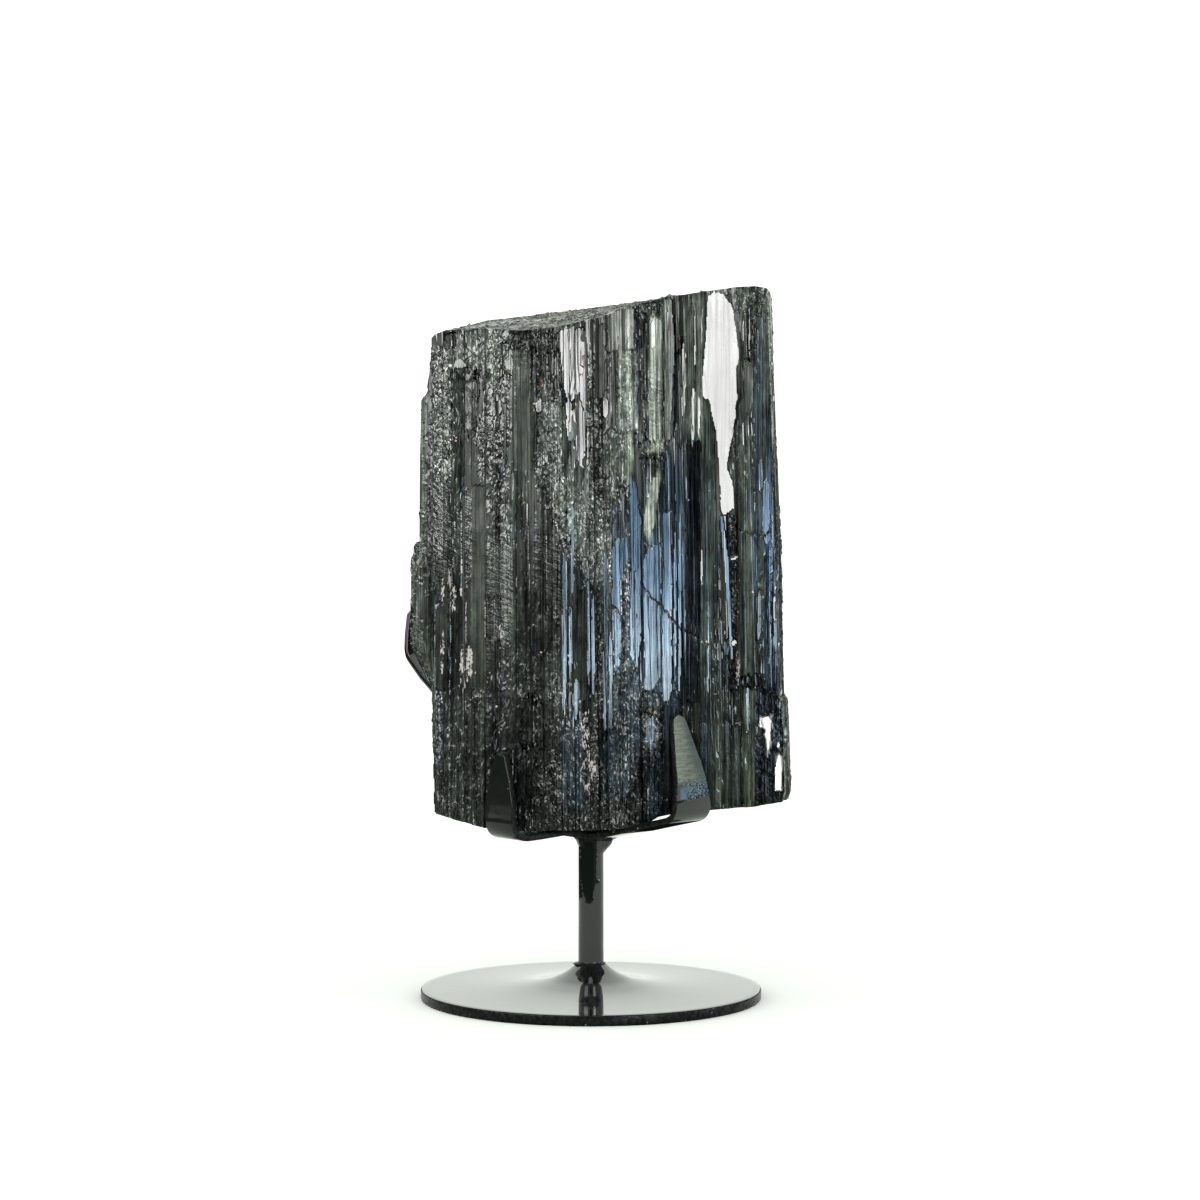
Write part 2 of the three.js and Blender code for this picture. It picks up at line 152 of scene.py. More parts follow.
BACK_RIBS = [(48.6, -2.2), (43.5, -0.4), (43.2, -1.3), (35.5, -1.2), (35.1, 0.3), (31.0, 0.1), (27.0, 0.5),
             (26.6, -0.9), (22.1, -0.4), (18.5, -0.6), (18.2, 0.7), (13.5, 0.9), (9.0, 1.0), (8.7, -0.2),
             (4.4, -0.5), (0.5, -0.8), (0.2, 0.5), (-5.1, 0.3), (-5.4, -0.1), (-9.5, 0.2), (-9.8, -1.4),
             (-17.0, -1.1), (-17.3, 0.6), (-22.6, 0.3), (-27.5, 0.7), (-27.8, -0.5), (-32.0, -0.9),
             (-36.0, -0.9), (-36.3, 0.2), (-40.9, 0.1), (-45.0, -1.6)]


def table(rows, x, column=1):
    """A column of a table at x, between rows that start with their own x."""
    return np.interp(x, [r[0] for r in rows], [r[column] for r in rows])


def top_height(x, y):
    return table(TOP_FRONT, x) + table(TOP_SLOPE, x) * (y + FRONT_DEPTH + FRONT_TURN * x)


def bottom_height(x, y):
    return table(BOTTOM_FRONT, x) + table(BOTTOM_RISE, x) * np.maximum(0, y)


FRONT, RIGHT, BACK, LEFT = 0, 1, 2, 3


def outline():
    """Dense closed outline at mid height: x, y, outward normal x, y, side."""
    rows = []

    def run(points, spacing, side):
        for (x0, y0), (x1, y1) in zip(points[:-1], points[1:]):
            n = max(1, int(round(math.hypot(x1 - x0, y1 - y0) / spacing)))
            for k in range(n):
                t = k / n
                rows.append((x0 + (x1 - x0) * t, y0 + (y1 - y0) * t, side))

    front = [(x, -FRONT_DEPTH - FRONT_TURN * x) for x in FRONT_ENDS]
    back = [(x, BACK_DEPTH - BACK_TURN * x) for x in BACK_ENDS]
    run(front, FINE_SPACING, FRONT)
    run([front[1]] + RIGHT_SIDE[1:-1] + [back[0]], SPACING, RIGHT)
    run(back, SPACING, BACK)
    run([back[1]] + LEFT_SIDE[1:-1] + [front[0]], SPACING, LEFT)
    data = np.array(rows)
    x, y, side = data[:, 0], data[:, 1], data[:, 2].astype(int)
    reach = 9
    tx, ty = np.roll(x, -reach) - np.roll(x, reach), np.roll(y, -reach) - np.roll(y, reach)
    length = np.hypot(tx, ty)
    nx, ny = ty / length, -tx / length
    for flat_side, normal in ((FRONT, (-FRONT_TURN, -1.0)), (BACK, (BACK_TURN, 1.0))):
        here = side == flat_side
        nx[here], ny[here] = np.array(normal) / math.hypot(*normal)
    return x, y, nx, ny, side


# ---------------------------------------------------------------- the crystal's relief

# The front is charted in squares. u runs to the right, v runs downward, and (600, 600) is the chart's middle.
SQUARE = 0.29
CHART_MIDDLE = 600
MIDDLE_X, MIDDLE_Z = 2.7, 119.7


def chart(x, z):
    return CHART_MIDDLE + (x - MIDDLE_X) / SQUARE, CHART_MIDDLE - (z - MIDDLE_Z) / SQUARE


def inside(u, v, corners):
    """True inside a polygon."""
    hit = np.zeros(u.shape, bool)
    for (u0, v0), (u1, v1) in zip(corners, corners[1:] + corners[:1]):
        if v0 != v1:
            cross = (v0 > v) != (v1 > v)
            hit ^= cross & (u < u0 + (v - v0) * (u1 - u0) / (v1 - v0))
    return hit


def box(u0, v0, u1, v1):
    return [(u0, v0), (u1, v0), (u1, v1), (u0, v1)]


def leaf(u0, v0, u1, v1, lean=0.0):
    """Narrow upright outline with pointed ends, shifted by lean from its top to its foot."""
    m = (u0 + u1) / 2
    h = v1 - v0
    return [(m, v0), (u1, v0 + 0.14 * h), (u1 + 0.6 * lean, v1 - 0.25 * h), (m + lean, v1),
            (u0 + 0.7 * lean, v1 - 0.12 * h), (u0 + 0.2 * lean, v0 + 0.2 * h)]


WHITE, BLUE, SKY, GREEN, BLACK = 22, 14, 17, -9, 6
CALM_COLUMNS = [(31.0, 34.5), (42.2, 47.3), (49.4, 53.6)]

# Outlines that a pane and its painted highlight share.
WEDGE = [(653, 477), (661, 476), (658, 500), (655, 524), (649, 541), (643, 530), (645, 508), (650, 490)]
HOOK = [(759, 717), (768, 715), (771, 720), (770, 727), (769, 740), (766, 760), (765, 728), (759, 726)]
PLATE = [(777, 753), (781, 755), (781, 790), (774, 790), (774, 766)]


def slivers(turn, rows):
    """Narrow pointed panes that are turned alike: corners, relief, upward lean, raggedness, unevenness."""
    return [(leaf(*row[:4]), row[4], turn, *row[5:]) for row in rows]


# Flat panes: outline, relief at the middle, turn to the right and upward lean in degrees,
# raggedness of the outline, unevenness of the fine strips inside in degrees.
PANES = [
    # panes that stay dark
    (leaf(562, 374, 569, 478), -0.5, BLACK, 0, 0.5, 2.0),
    (box(594, 325, 603.5, 398), -0.9, -2, 0, 0.6, 3.0),
    ([(640, 312), (646, 314), (644, 346), (641, 349)], -0.8, BLACK, 0, 0.3, 1.0),
    (leaf(675, 350, 681, 444, -6), -0.7, BLACK, 0, 0.5, 2.0),
    (leaf(671, 386, 674.5, 442, -2), -0.3, BLUE, 0, 0.4, 2.0),
    ([(664, 300), (671, 300), (675, 345), (670, 440), (664, 440)], 0.3, GREEN, 0, 0.5, 3.0),
    (leaf(686, 300, 694.5, 412, 2), -0.5, 1, 0, 0.6, 3.0),
    (leaf(677.5, 352, 681.5, 452, 1), 0.0, BLUE, 0, 0.4, 2.0),
    ([(686, 444), (700, 440), (700, 560), (699, 705), (687, 700), (685, 560)], -0.7, BLACK, 0, 1.0, 2.0),
    (box(727, 515, 737, 690), -0.6, BLACK, 0, 0.8, 3.0),
    ([(750, 690), (786, 694), (788, 720), (787, 800), (753, 800)], -0.7, BLACK, 0, 1.0, 3.0),
    (box(663, 705, 680, 800), -0.3, BLACK, 0, 1.0, 3.0), (box(700, 724, 740, 806), 0.0, BLACK, 0, 1.0, 5.0),
    (box(579, 590, 586, 700), -0.3, BLACK, 0, 0.5, 3.0),
    # light green panes
    ([(649, 322), (655, 316), (662, 322), (663, 400), (661, 440), (650, 440)], 0.6, GREEN, 0, 0.6, 3.0),
    ([(606, 312), (634, 308), (634, 350), (606, 352)], 0.0, GREEN, 0, 0.6, 5.0),
    (leaf(742, 362, 752, 416), -0.6, GREEN, 0, 0.5, 3.0), (WEDGE, 0.5, GREEN, 0, 0.6, 2.5),
    (box(470, 486, 484, 690), -0.5, -2, 0, 0.8, 3.0), (box(434, 560, 446.5, 692), 0.0, GREEN, 0, 0.8, 7.0),
    (box(513, 350, 531, 470), 0.4, -3, 0, 0.6, 4.0),
    # white panes
    ([(714, 293), (722, 295), (728, 303), (735, 312), (738, 330), (742, 355), (741, 361), (738, 363),
      (738.5, 385), (740, 398), (737, 408), (738, 415), (735, 425), (732, 435), (729, 448), (726, 468),
      (729, 475), (732, 482), (733, 508), (724, 516), (720, 512), (719, 480), (717, 450), (715, 430),
      (711, 415), (709, 402), (703, 399), (702, 380), (704, 360), (706, 330), (707, 297)],
      0.3, WHITE, 0, 0.4, 0.3),
    ([(560, 332), (566, 327), (584, 328), (587, 345), (587, 400), (586, 452), (583.5, 455), (582, 405),
      (577, 394), (573, 402), (567, 400), (563, 384)], 0.4, WHITE, 0, 1.0, 4.2),
    ([(566, 408), (569, 394), (574, 410), (579, 396), (584, 414), (587, 404), (586, 440), (584, 474),
      (578, 460), (574, 440), (569, 444)], 0.4, WHITE, 0, 2.0, 8.5),
    ([(532, 403.5), (541, 398.5), (541, 411), (537, 414), (535.5, 406.5)], 0.3, WHITE, 0, 0.3, 1.0),
    ([(452.5, 363), (459, 357), (468.5, 366), (461, 368.5), (453, 368.5)], 0.3, -14, 2, 0.3, 1.0),
    (leaf(503.5, 395, 506, 470), 0.5, -14, 0, 0.2, 4.0),
    (leaf(510, 470, 512.5, 508), 0.6, -16, 0, 0.2, 3.0), (HOOK, -0.5, WHITE, 4, 0.4, 0.3),
    (PLATE, -0.5, WHITE, 5, 0.4, 0.3),
    # panes that face a little to the right, in the middle and lower part
    ([(612, 550), (617, 538), (627, 537), (629, 560), (623, 576), (620, 612), (612, 604)],
      0.3, BLUE, 0, 0.8, 2.0),
    ([(620, 580), (630, 560), (631, 612), (620, 618)], 0.2, BLUE, 0, 1.4, 9.0),
    ([(612, 610), (621, 616), (622, 660), (617, 676), (612, 655)], 0.3, BLUE, 0, 1.0, 5.0),
    ([(622, 616), (631, 612), (631, 690), (624, 704)], 0.2, BLUE, 0, 1.4, 9.0),
    ([(630, 470), (636, 486), (641, 520), (641, 640), (637, 672), (630, 655)], 0.3, BLUE, 0, 1.0, 2.2),
    ([(643, 560), (650, 548), (661, 540), (661, 675), (652, 692), (645, 690)], 0.4, BLUE, 0, 1.0, 2.2),
    ([(662, 512), (672, 510), (672, 690), (668, 705), (662, 700)], 0.3, BLUE, 0, 1.0, 2.5),
    (leaf(586, 556, 589.5, 694, 2), 0.1, SKY, 0, 0.4, 2.0),
    (leaf(591, 586, 594.5, 704, 1), 0.1, SKY, 0, 0.4, 2.0),
    ([(719, 515), (722, 515), (728, 560), (730, 600), (733, 660), (730, 660), (726, 600), (723, 560)],
      0.2, BLUE, 0, 0.4, 2.0),
    (leaf(745, 682, 748.5, 734, 1), -0.3, BLUE, 0, 0.3, 1.0),
]
PANES += slivers(BLUE, [
    (673.5, 520, 676.5, 700, 0.3, 0, 0.5, 2.0), (678, 500, 681.5, 708, 0.4, 0, 0.6, 2.5),
    (603, 530, 608, 744, 0.2, 0, 0.5, 3.0), (608.5, 630, 613, 744, 0.2, 0, 0.5, 3.0),
    (757, 456, 760.5, 494, -0.4, 0, 0.4, 1.0), (761, 478, 768, 545, -0.5, 0, 0.8, 4.0),
    (770, 455, 775, 555, -0.6, 0, 0.6, 3.0), (756, 586, 760, 644, -0.4, 0, 0.6, 3.0),
    (772, 556, 776.5, 654, -0.6, 0, 0.6, 3.0), (707, 590, 709, 700, 0.1, 0, 0.4, 3.0),
])
PANES += slivers(SKY, [
    (562.5, 540, 567, 724, 0.3, 0, 0.4, 2.5), (568.5, 600, 572.5, 684, 0.3, 0, 0.4, 2.5),
    (571, 500, 574, 604, 0.3, 0, 0.4, 2.0), (574, 676, 578.5, 724, 0.3, 0, 0.4, 2.0),
])
PANES += slivers(WHITE, [
    (603, 397, 608.5, 420, 0.3, 0, 0.3, 1.0), (651, 318, 655.5, 352, 0.8, 0, 0.3, 1.0),
    (681, 338, 685.5, 425, 0.3, 0, 0.3, 5.0), (691, 382, 694, 452, 0.3, 0, 0.3, 4.0),
    (697, 376, 700, 440, 0.2, 0, 0.3, 4.0), (481.5, 388, 484, 412, 0.2, 0, 0.2, 1.0),
    (498, 398, 500.5, 416, 0.2, 0, 0.2, 1.0), (518, 366, 520, 390, 0.4, 0, 0.2, 1.0),
    (776, 741, 779, 747, -0.5, 4, 0.3, 0.3), (646.8, 785, 650.8, 802, 0.0, 5, 0.2, 0.5),
    (700.5, 548, 702.5, 584, 0.2, 0, 0.2, 1.0), (730, 555, 737, 560, 0.2, 1, 0.8, 1.0),
    (731, 639, 736.5, 646, 0.2, 2, 0.8, 1.0), (693.5, 300, 695.5, 376, 0.3, 0, 0.3, 5.0),
    (701, 306, 703, 352, 0.3, 0, 0.3, 5.0), (747, 303, 749, 356, 0.1, 0, 0.3, 5.0),
    (741, 318, 743, 345, 0.1, 0, 0.3, 5.0), (741, 420, 743, 452, 0.1, 0, 0.3, 4.0),
    (667, 306, 668.5, 345, 0.4, 0, 0.2, 4.0), (772, 592, 775.5, 622, -0.6, 2, 0.4, 1.0),
    (772.5, 500, 774.5, 520, -0.6, 1, 0.4, 1.0),
])

# Sunk places: outline on the chart, depth outward, raggedness.
STEPS = [
    ([(441, 333), (455, 333), (455, 347), (444, 349)], -1.5, 1.0),
    ([(450, 368), (472, 370), (476, 400), (474, 430), (452, 430)], -0.45, 4.0),
    (box(474, 369, 481, 382), -1.5, 0.8), (box(501, 345, 513, 376), -1.0, 1.5),
    ([(513, 333), (540, 331), (561, 334), (558, 346), (530, 350), (513, 346)], -0.5, 4.5),
    (box(636, 300, 661, 319), -0.7, 2.0), (box(640, 441, 664, 460), -0.6, 2.0),
    ([(740, 674), (764, 675), (763, 686), (742, 685)], -1.9, 1.2), (box(750, 688, 786, 800), -0.4, 1.2),
    (box(739, 361, 748, 366), -1.0, 0.6), (box(520, 700, 545, 745), -0.9, 3.5),
    (box(640, 692, 662, 716), -0.9, 2.0), (box(530, 770, 552, 800), -0.7, 3.0),
    (box(484, 600, 500, 640), -0.4, 2.5), ([(724, 296), (772, 300), (771, 314), (726, 310)], -0.4, 2.5),
]

# Hackly zones: outline on the chart, strength, raggedness.
HACKLY = [
    (box(432, 348, 451, 480), 1.0, 1.5), ([(432, 480), (448, 480), (449, 640), (433, 690)], 0.12, 3.0),
    ([(456, 338), (512, 332), (512, 350), (476, 372), (450, 368)], 0.55, 4.0),
    (box(484, 372, 512, 430), 0.35, 4.0), (box(450, 372, 474, 432), 0.15, 3.0),
    (box(513, 331, 561, 352), 0.35, 3.0), (box(476, 420, 508, 470), 0.6, 3.0),
    (box(484, 480, 512, 545), 0.25, 4.0),
    ([(436, 700), (484, 690), (520, 640), (556, 690), (556, 831), (484, 826), (436, 812)], 0.25, 4.0),
    ([(536, 360), (562, 392), (562, 470), (604, 515), (622, 575), (596, 590), (560, 545), (536, 480)],
      0.85, 4.0),
    (box(515, 660, 562, 700), 0.35, 4.0), (box(515, 580, 562, 660), 0.14, 3.0),
    ([(619, 574), (630, 560), (632, 612), (632, 690), (624, 704), (612, 660), (619, 620)], 0.35, 2.0),
    (box(588, 350, 594, 560), 0.8, 1.5), (box(594, 400, 603, 520), 0.7, 1.5),
    ([(603, 430), (634, 430), (634, 470), (606, 535)], 0.35, 3.0), (box(618, 352, 637, 430), 0.75, 2.0),
    (box(636, 300, 662, 318), 0.8, 2.0), (box(640, 438, 664, 462), 0.7, 2.0),
    (box(594, 600, 603, 720), 0.6, 1.0), (box(612, 660, 640, 720), 0.4, 3.0),
    ([(556, 724), (640, 712), (662, 760), (660, 830), (520, 834)], 0.45, 4.0),
    (box(640, 694, 662, 750), 0.6, 2.0), (box(747, 308, 754, 356), 0.8, 1.0),
    ([(722, 286), (772, 286), (773, 310), (756, 316), (730, 312)], 0.75, 2.0),
    (box(727, 515, 737, 690), 0.4, 1.0), (box(755, 700, 790, 798), 0.3, 1.0),
]

# Cracks: points on the chart, half width in squares, depth.
CRACKS = [
    ([(640, 583), (652, 598), (665, 610), (680, 628), (700, 638), (710, 645)], 0.9, 0.4),
    ([(735, 525), (740, 530), (750, 534), (762, 536), (768, 532)], 1.0, 0.6),
    ([(728, 665), (736, 678)], 0.9, 0.5), ([(643, 394), (655, 391), (662, 392)], 0.6, 0.25),
    ([(644, 520), (646, 545), (652, 547)], 0.8, 0.4), ([(618, 470), (619, 530)], 0.7, 0.4),
]


def distance_to_line(u, v, points):
    best = np.full(u.shape, 1e9)
    for (u0, v0), (u1, v1) in zip(points[:-1], points[1:]):
        du, dv = u1 - u0, v1 - v0
        t = np.clip(((u - u0) * du + (v - v0) * dv) / (du * du + dv * dv), 0, 1)
        best = np.minimum(best, np.hypot(u - u0 - t * du, v - v0 - t * dv))
    return best


def jagged(x, z, seed):
    return value_noise(x * 1.3, z * 0.5, seed) + 0.5 * value_noise(x * 3.1, z * 1.6, seed + 1)


def front_relief(x_mid, x, z):
    u, v = chart(x, z)
    jag_u, jag_v = jagged(x, z, 21), jagged(x * 1.4, z, 23)
    calm = 0.45 + 0.55 * smooth(-22, 4, x_mid)
    for edge_from, edge_to in CALM_COLUMNS:
        calm = calm * np.where((x_mid > edge_from) & (x_mid < edge_to), 0.5, 1.0)
    fine = calm * (slats(x_mid, z, 71, 0.8, 70, 6) + slats(x_mid, z, 81, 1.8, 80, 6))
    relief = table(FRONT_RIBS, x_mid) + fine + calm * slats(x_mid, z, 91, 4.6, 90, 5)
    relief += 0.25 * value_noise(x_mid * 0.11, z * 0.02, 34)
    for shape, depth, rag in STEPS:
        relief += depth * inside(u + rag * jag_u, v + 2.5 * rag * jag_v, shape)
    strength = np.zeros(x.shape)
    for shape, amount, rag in HACKLY:
        strength = np.maximum(strength, amount * inside(u + rag * 1.2 * jag_u, v + rag * 4 * jag_v, shape))
    strength *= 0.55 + 0.45 * smooth(-0.3, 0.3, value_noise(x * 0.22, z * 0.12, 44))
    for shape, middle, turn, lean, rag, uneven in PANES:
        us, vs = [p[0] for p in shape], [p[1] for p in shape]
        cu, cv = (min(us) + max(us)) / 2, (min(vs) + max(vs)) / 2
        hit = inside(u + rag * 0.5 * jag_u, v + rag * 2.0 * jag_v, shape)
        flat = middle - math.tan(math.radians(turn)) * (u - cu) * SQUARE
        flat = flat + math.tan(math.radians(lean)) * (v - cv) * SQUARE
        flat = flat + fine * uneven / 6
        keep = strength * (0.8 if turn == BLACK or uneven > 8 else 0.0)
        relief = np.where(hit, flat, relief)
        strength = np.where(hit, keep, strength)
    relief = relief + strength * hackly_break(x, z, 51)
    for line, half, depth in CRACKS:
        relief -= depth * np.clip(1 - distance_to_line(u + 1.5 * jag_u, v + 1.5 * jag_v, line) / half, 0, 1)
    return relief, strength


def plain_relief(a, z, seed, ribs):
    """Relief of a side or the back: ribs, strips, and a few hackly patches."""
    fine = slats(a, z, seed, 1.0, 26, 7) + slats(a, z, seed + 10, 2.1, 35, 7)
    broad = slats(a, z, seed + 20, 5.5, 52, 9)
    patch = value_noise(a * 0.07 + 3.1, z * 0.022, seed + 4)
    patch += 0.45 * value_noise(a * 0.25, z * 0.06, seed + 5)
    patch += 0.3 * jagged(a, z, seed + 6)
    strength = 0.8 * smooth(0.22, 0.42, patch)
    ledge = 0.35 * np.floor(2.2 * value_noise(a * 0.13, z * 0.016, seed + 7) + 0.3 * jagged(a, z, seed + 16))
    return ribs + fine + broad + ledge + strength * hackly_break(a, z, seed + 30), strength


def place(X, Y, S, Z, nx, ny, relief):
    """Fan the upright lines apart, follow the side outlines, then push out by the relief."""
    wander = np.abs(2.8 * value_noise(Y * 0.09, Z * 0.004 + 0.5, 61) + 1.2 * jagged(Y, Z * 0.2, 62))
    wander = wander * np.clip(np.abs(Y - 27) / 8, 0, 1) * np.where(Z > 115, 1, -1)
    edge_left, edge_right = table(LEFT_EDGE, Z + wander), table(RIGHT_EDGE, Z)
    fan = table(FAN, X) * (MID_HEIGHT - Z)
    shift = np.where(S == RIGHT, edge_right, np.where(S == LEFT, edge_left, fan))
    corners = [(FRONT, X - 50, 3.4, fan, edge_right), (LEFT, -Y - 10, 5.6, edge_left * 0.6, fan),
               (RIGHT, Y - 20, 10.4, edge_right, fan), (BACK, -X - 36, 9.0, fan, edge_left)]
    for side, past, reach, here, there in corners:
        share = np.clip(past / reach, 0, 1)
        shift = np.where((S == side) & (past > 0), here * (1 - share) + there * share, shift)
    return X + shift + nx[None, :] * relief, Y + ny[None, :] * relief


# Tones on the front, with painted shade, painted highlights and painted blue reflection: outline on the
# chart, colour, raggedness.
# FROST_HIGHLIGHT, PALE_HIGHLIGHT and CHALK_HIGHLIGHT are painted highlights; DEEP_SHADE is painted shade in
# recesses, dark slots, under ledges and beside the prongs.
# NAVY_REFLECTION and SLATE_REFLECTION are painted blue reflection; DUSK_SHADE is a darker tone that paints
# shade over the lower half.
NAVY_REFLECTION, DUSK_SHADE, SLATE_REFLECTION = (0.007, 0.014, 0.026), (0.007, 0.0085, 0.0072), (0.011, 0.019, 0.026)
FROST_HIGHLIGHT, PALE_HIGHLIGHT, DEEP_SHADE = (0.10, 0.13, 0.17), (0.10, 0.117, 0.096), (0.003, 0.0035, 0.0035)
LEAF, CHALK_HIGHLIGHT = (0.030, 0.037, 0.029), (0.45, 0.45, 0.44)
FRONT_TONES_AND_PAINTED_LIGHT = [
    (box(513, 331, 561, 350), (0.012, 0.0145, 0.012), 4.5),
    (box(450, 370, 474, 430), (0.013, 0.016, 0.013), 4.5), (box(441, 333, 455, 347), DEEP_SHADE, 1.0),
    (box(474, 369, 481, 382), DEEP_SHADE, 0.5), (box(515, 575, 562, 660), DUSK_SHADE, 3.0),
    (box(686, 440, 700, 705), DEEP_SHADE, 1.0), (box(727, 515, 737, 690), DEEP_SHADE, 0.6),
    (box(750, 690, 788, 800), DEEP_SHADE, 1.0), (box(594, 325, 603, 398), DEEP_SHADE, 0.5),
    (box(740, 674, 763, 686), DEEP_SHADE, 1.0), (box(556, 716, 662, 832), DUSK_SHADE, 4.0),
    (box(484, 690, 556, 832), DUSK_SHADE, 4.0), (box(496, 730, 530, 830), DEEP_SHADE, 5.0),
    (box(561, 722, 583, 806), SLATE_REFLECTION, 1.0), (box(603, 698, 641, 800), SLATE_REFLECTION, 1.5),
    (box(630, 756, 642, 812), DEEP_SHADE, 1.0), (box(640, 750, 664, 832), DEEP_SHADE, 1.5),
    (box(660, 700, 682, 835), DEEP_SHADE, 0.6), (box(648, 770, 656, 826), SLATE_REFLECTION, 0.6),
    (leaf(645.5, 717, 656, 746), FROST_HIGHLIGHT, 1.6), (box(712, 690, 727, 808), LEAF, 1.0),
    (box(737, 440, 755, 675), LEAF, 0.6), (box(741, 690, 754, 808), (0.048, 0.058, 0.046), 0.8),
    (box(702, 520, 708, 806), SLATE_REFLECTION, 0.6), (box(450, 560, 470, 700), DUSK_SHADE, 2.0),
    (box(436, 640, 450, 690), DUSK_SHADE, 2.0), (box(758, 316, 772, 460), (0.030, 0.036, 0.034), 0.6),
    # The bluish colours in the next rows are painted blue reflection.
    (leaf(752, 300, 760, 600), (0.014, 0.024, 0.034), 0.5),
    (box(612, 505, 684, 706), (0.022, 0.033, 0.044), 1.0), (leaf(634, 312, 640, 440), NAVY_REFLECTION, 0.4),
    (leaf(671, 352, 675, 446), NAVY_REFLECTION, 0.3), (leaf(663, 440, 686, 520), NAVY_REFLECTION, 2.0),
    (leaf(561, 376, 570, 480), NAVY_REFLECTION, 0.6), (leaf(700, 450, 716, 720), (0.019, 0.026, 0.024), 1.0),
    (box(764, 440, 778, 690), NAVY_REFLECTION, 1.0), (box(434, 340, 450, 480), LEAF, 1.0),
    (box(455, 338, 500, 369), PALE_HIGHLIGHT, 4.0), (box(484, 345, 513, 375), LEAF, 3.0),
    # In the rows below, the light grey, light green and white colours are painted highlights on facets that
    # catch the lamps.
    (box(606, 308, 634, 352), (0.07, 0.084, 0.07), 1.0), (box(619, 352, 637, 430), (0.21, 0.24, 0.21), 2.0),
    (box(649, 316, 662, 440), PALE_HIGHLIGHT, 0.8), (box(640, 440, 664, 452), PALE_HIGHLIGHT, 1.5),
    (box(742, 362, 752, 412), PALE_HIGHLIGHT, 1.0), (box(603, 430, 634, 475), LEAF, 2.0),
    (box(683, 300, 707, 440), (0.075, 0.088, 0.075), 1.0), (box(513, 350, 531, 500), LEAF, 1.5),
    (box(470, 484, 484, 690), LEAF, 0.8), (box(484, 545, 513, 625), LEAF, 2.0),
    (box(740, 300, 748, 345), LEAF, 0.6), (box(663, 300, 672, 440), (0.055, 0.066, 0.056), 0.8),
    ([(733, 286), (775, 286), (775, 312), (756, 318), (742, 312)], (0.045, 0.054, 0.044), 3.0),
    ([(707, 288), (734, 288), (739, 330), (713, 325)], (0.15, 0.15, 0.147), 0.2),
    (WEDGE, (0.22, 0.24, 0.215), 0.6),
    ([(650, 440), (663, 438), (664, 450), (655, 453)], (0.26, 0.28, 0.24), 1.0),
    (leaf(623, 428, 633, 486), (0.15, 0.175, 0.14), 0.8),
    ([(540, 390), (562, 400), (604, 515), (624, 575), (596, 588), (540, 480)], (0.055, 0.066, 0.058), 3.0),
    (leaf(540, 380, 542.5, 388), (0.12, 0.05, 0.035), 0.4), (leaf(640, 410, 650, 418), PALE_HIGHLIGHT, 1.0),
    (leaf(630, 416, 637, 430), (0.4, 0.4, 0.4), 1.0), (HOOK, CHALK_HIGHLIGHT, 0.5), (PLATE, CHALK_HIGHLIGHT, 0.5),
    (leaf(776, 741, 779, 747), CHALK_HIGHLIGHT, 0.2),
]


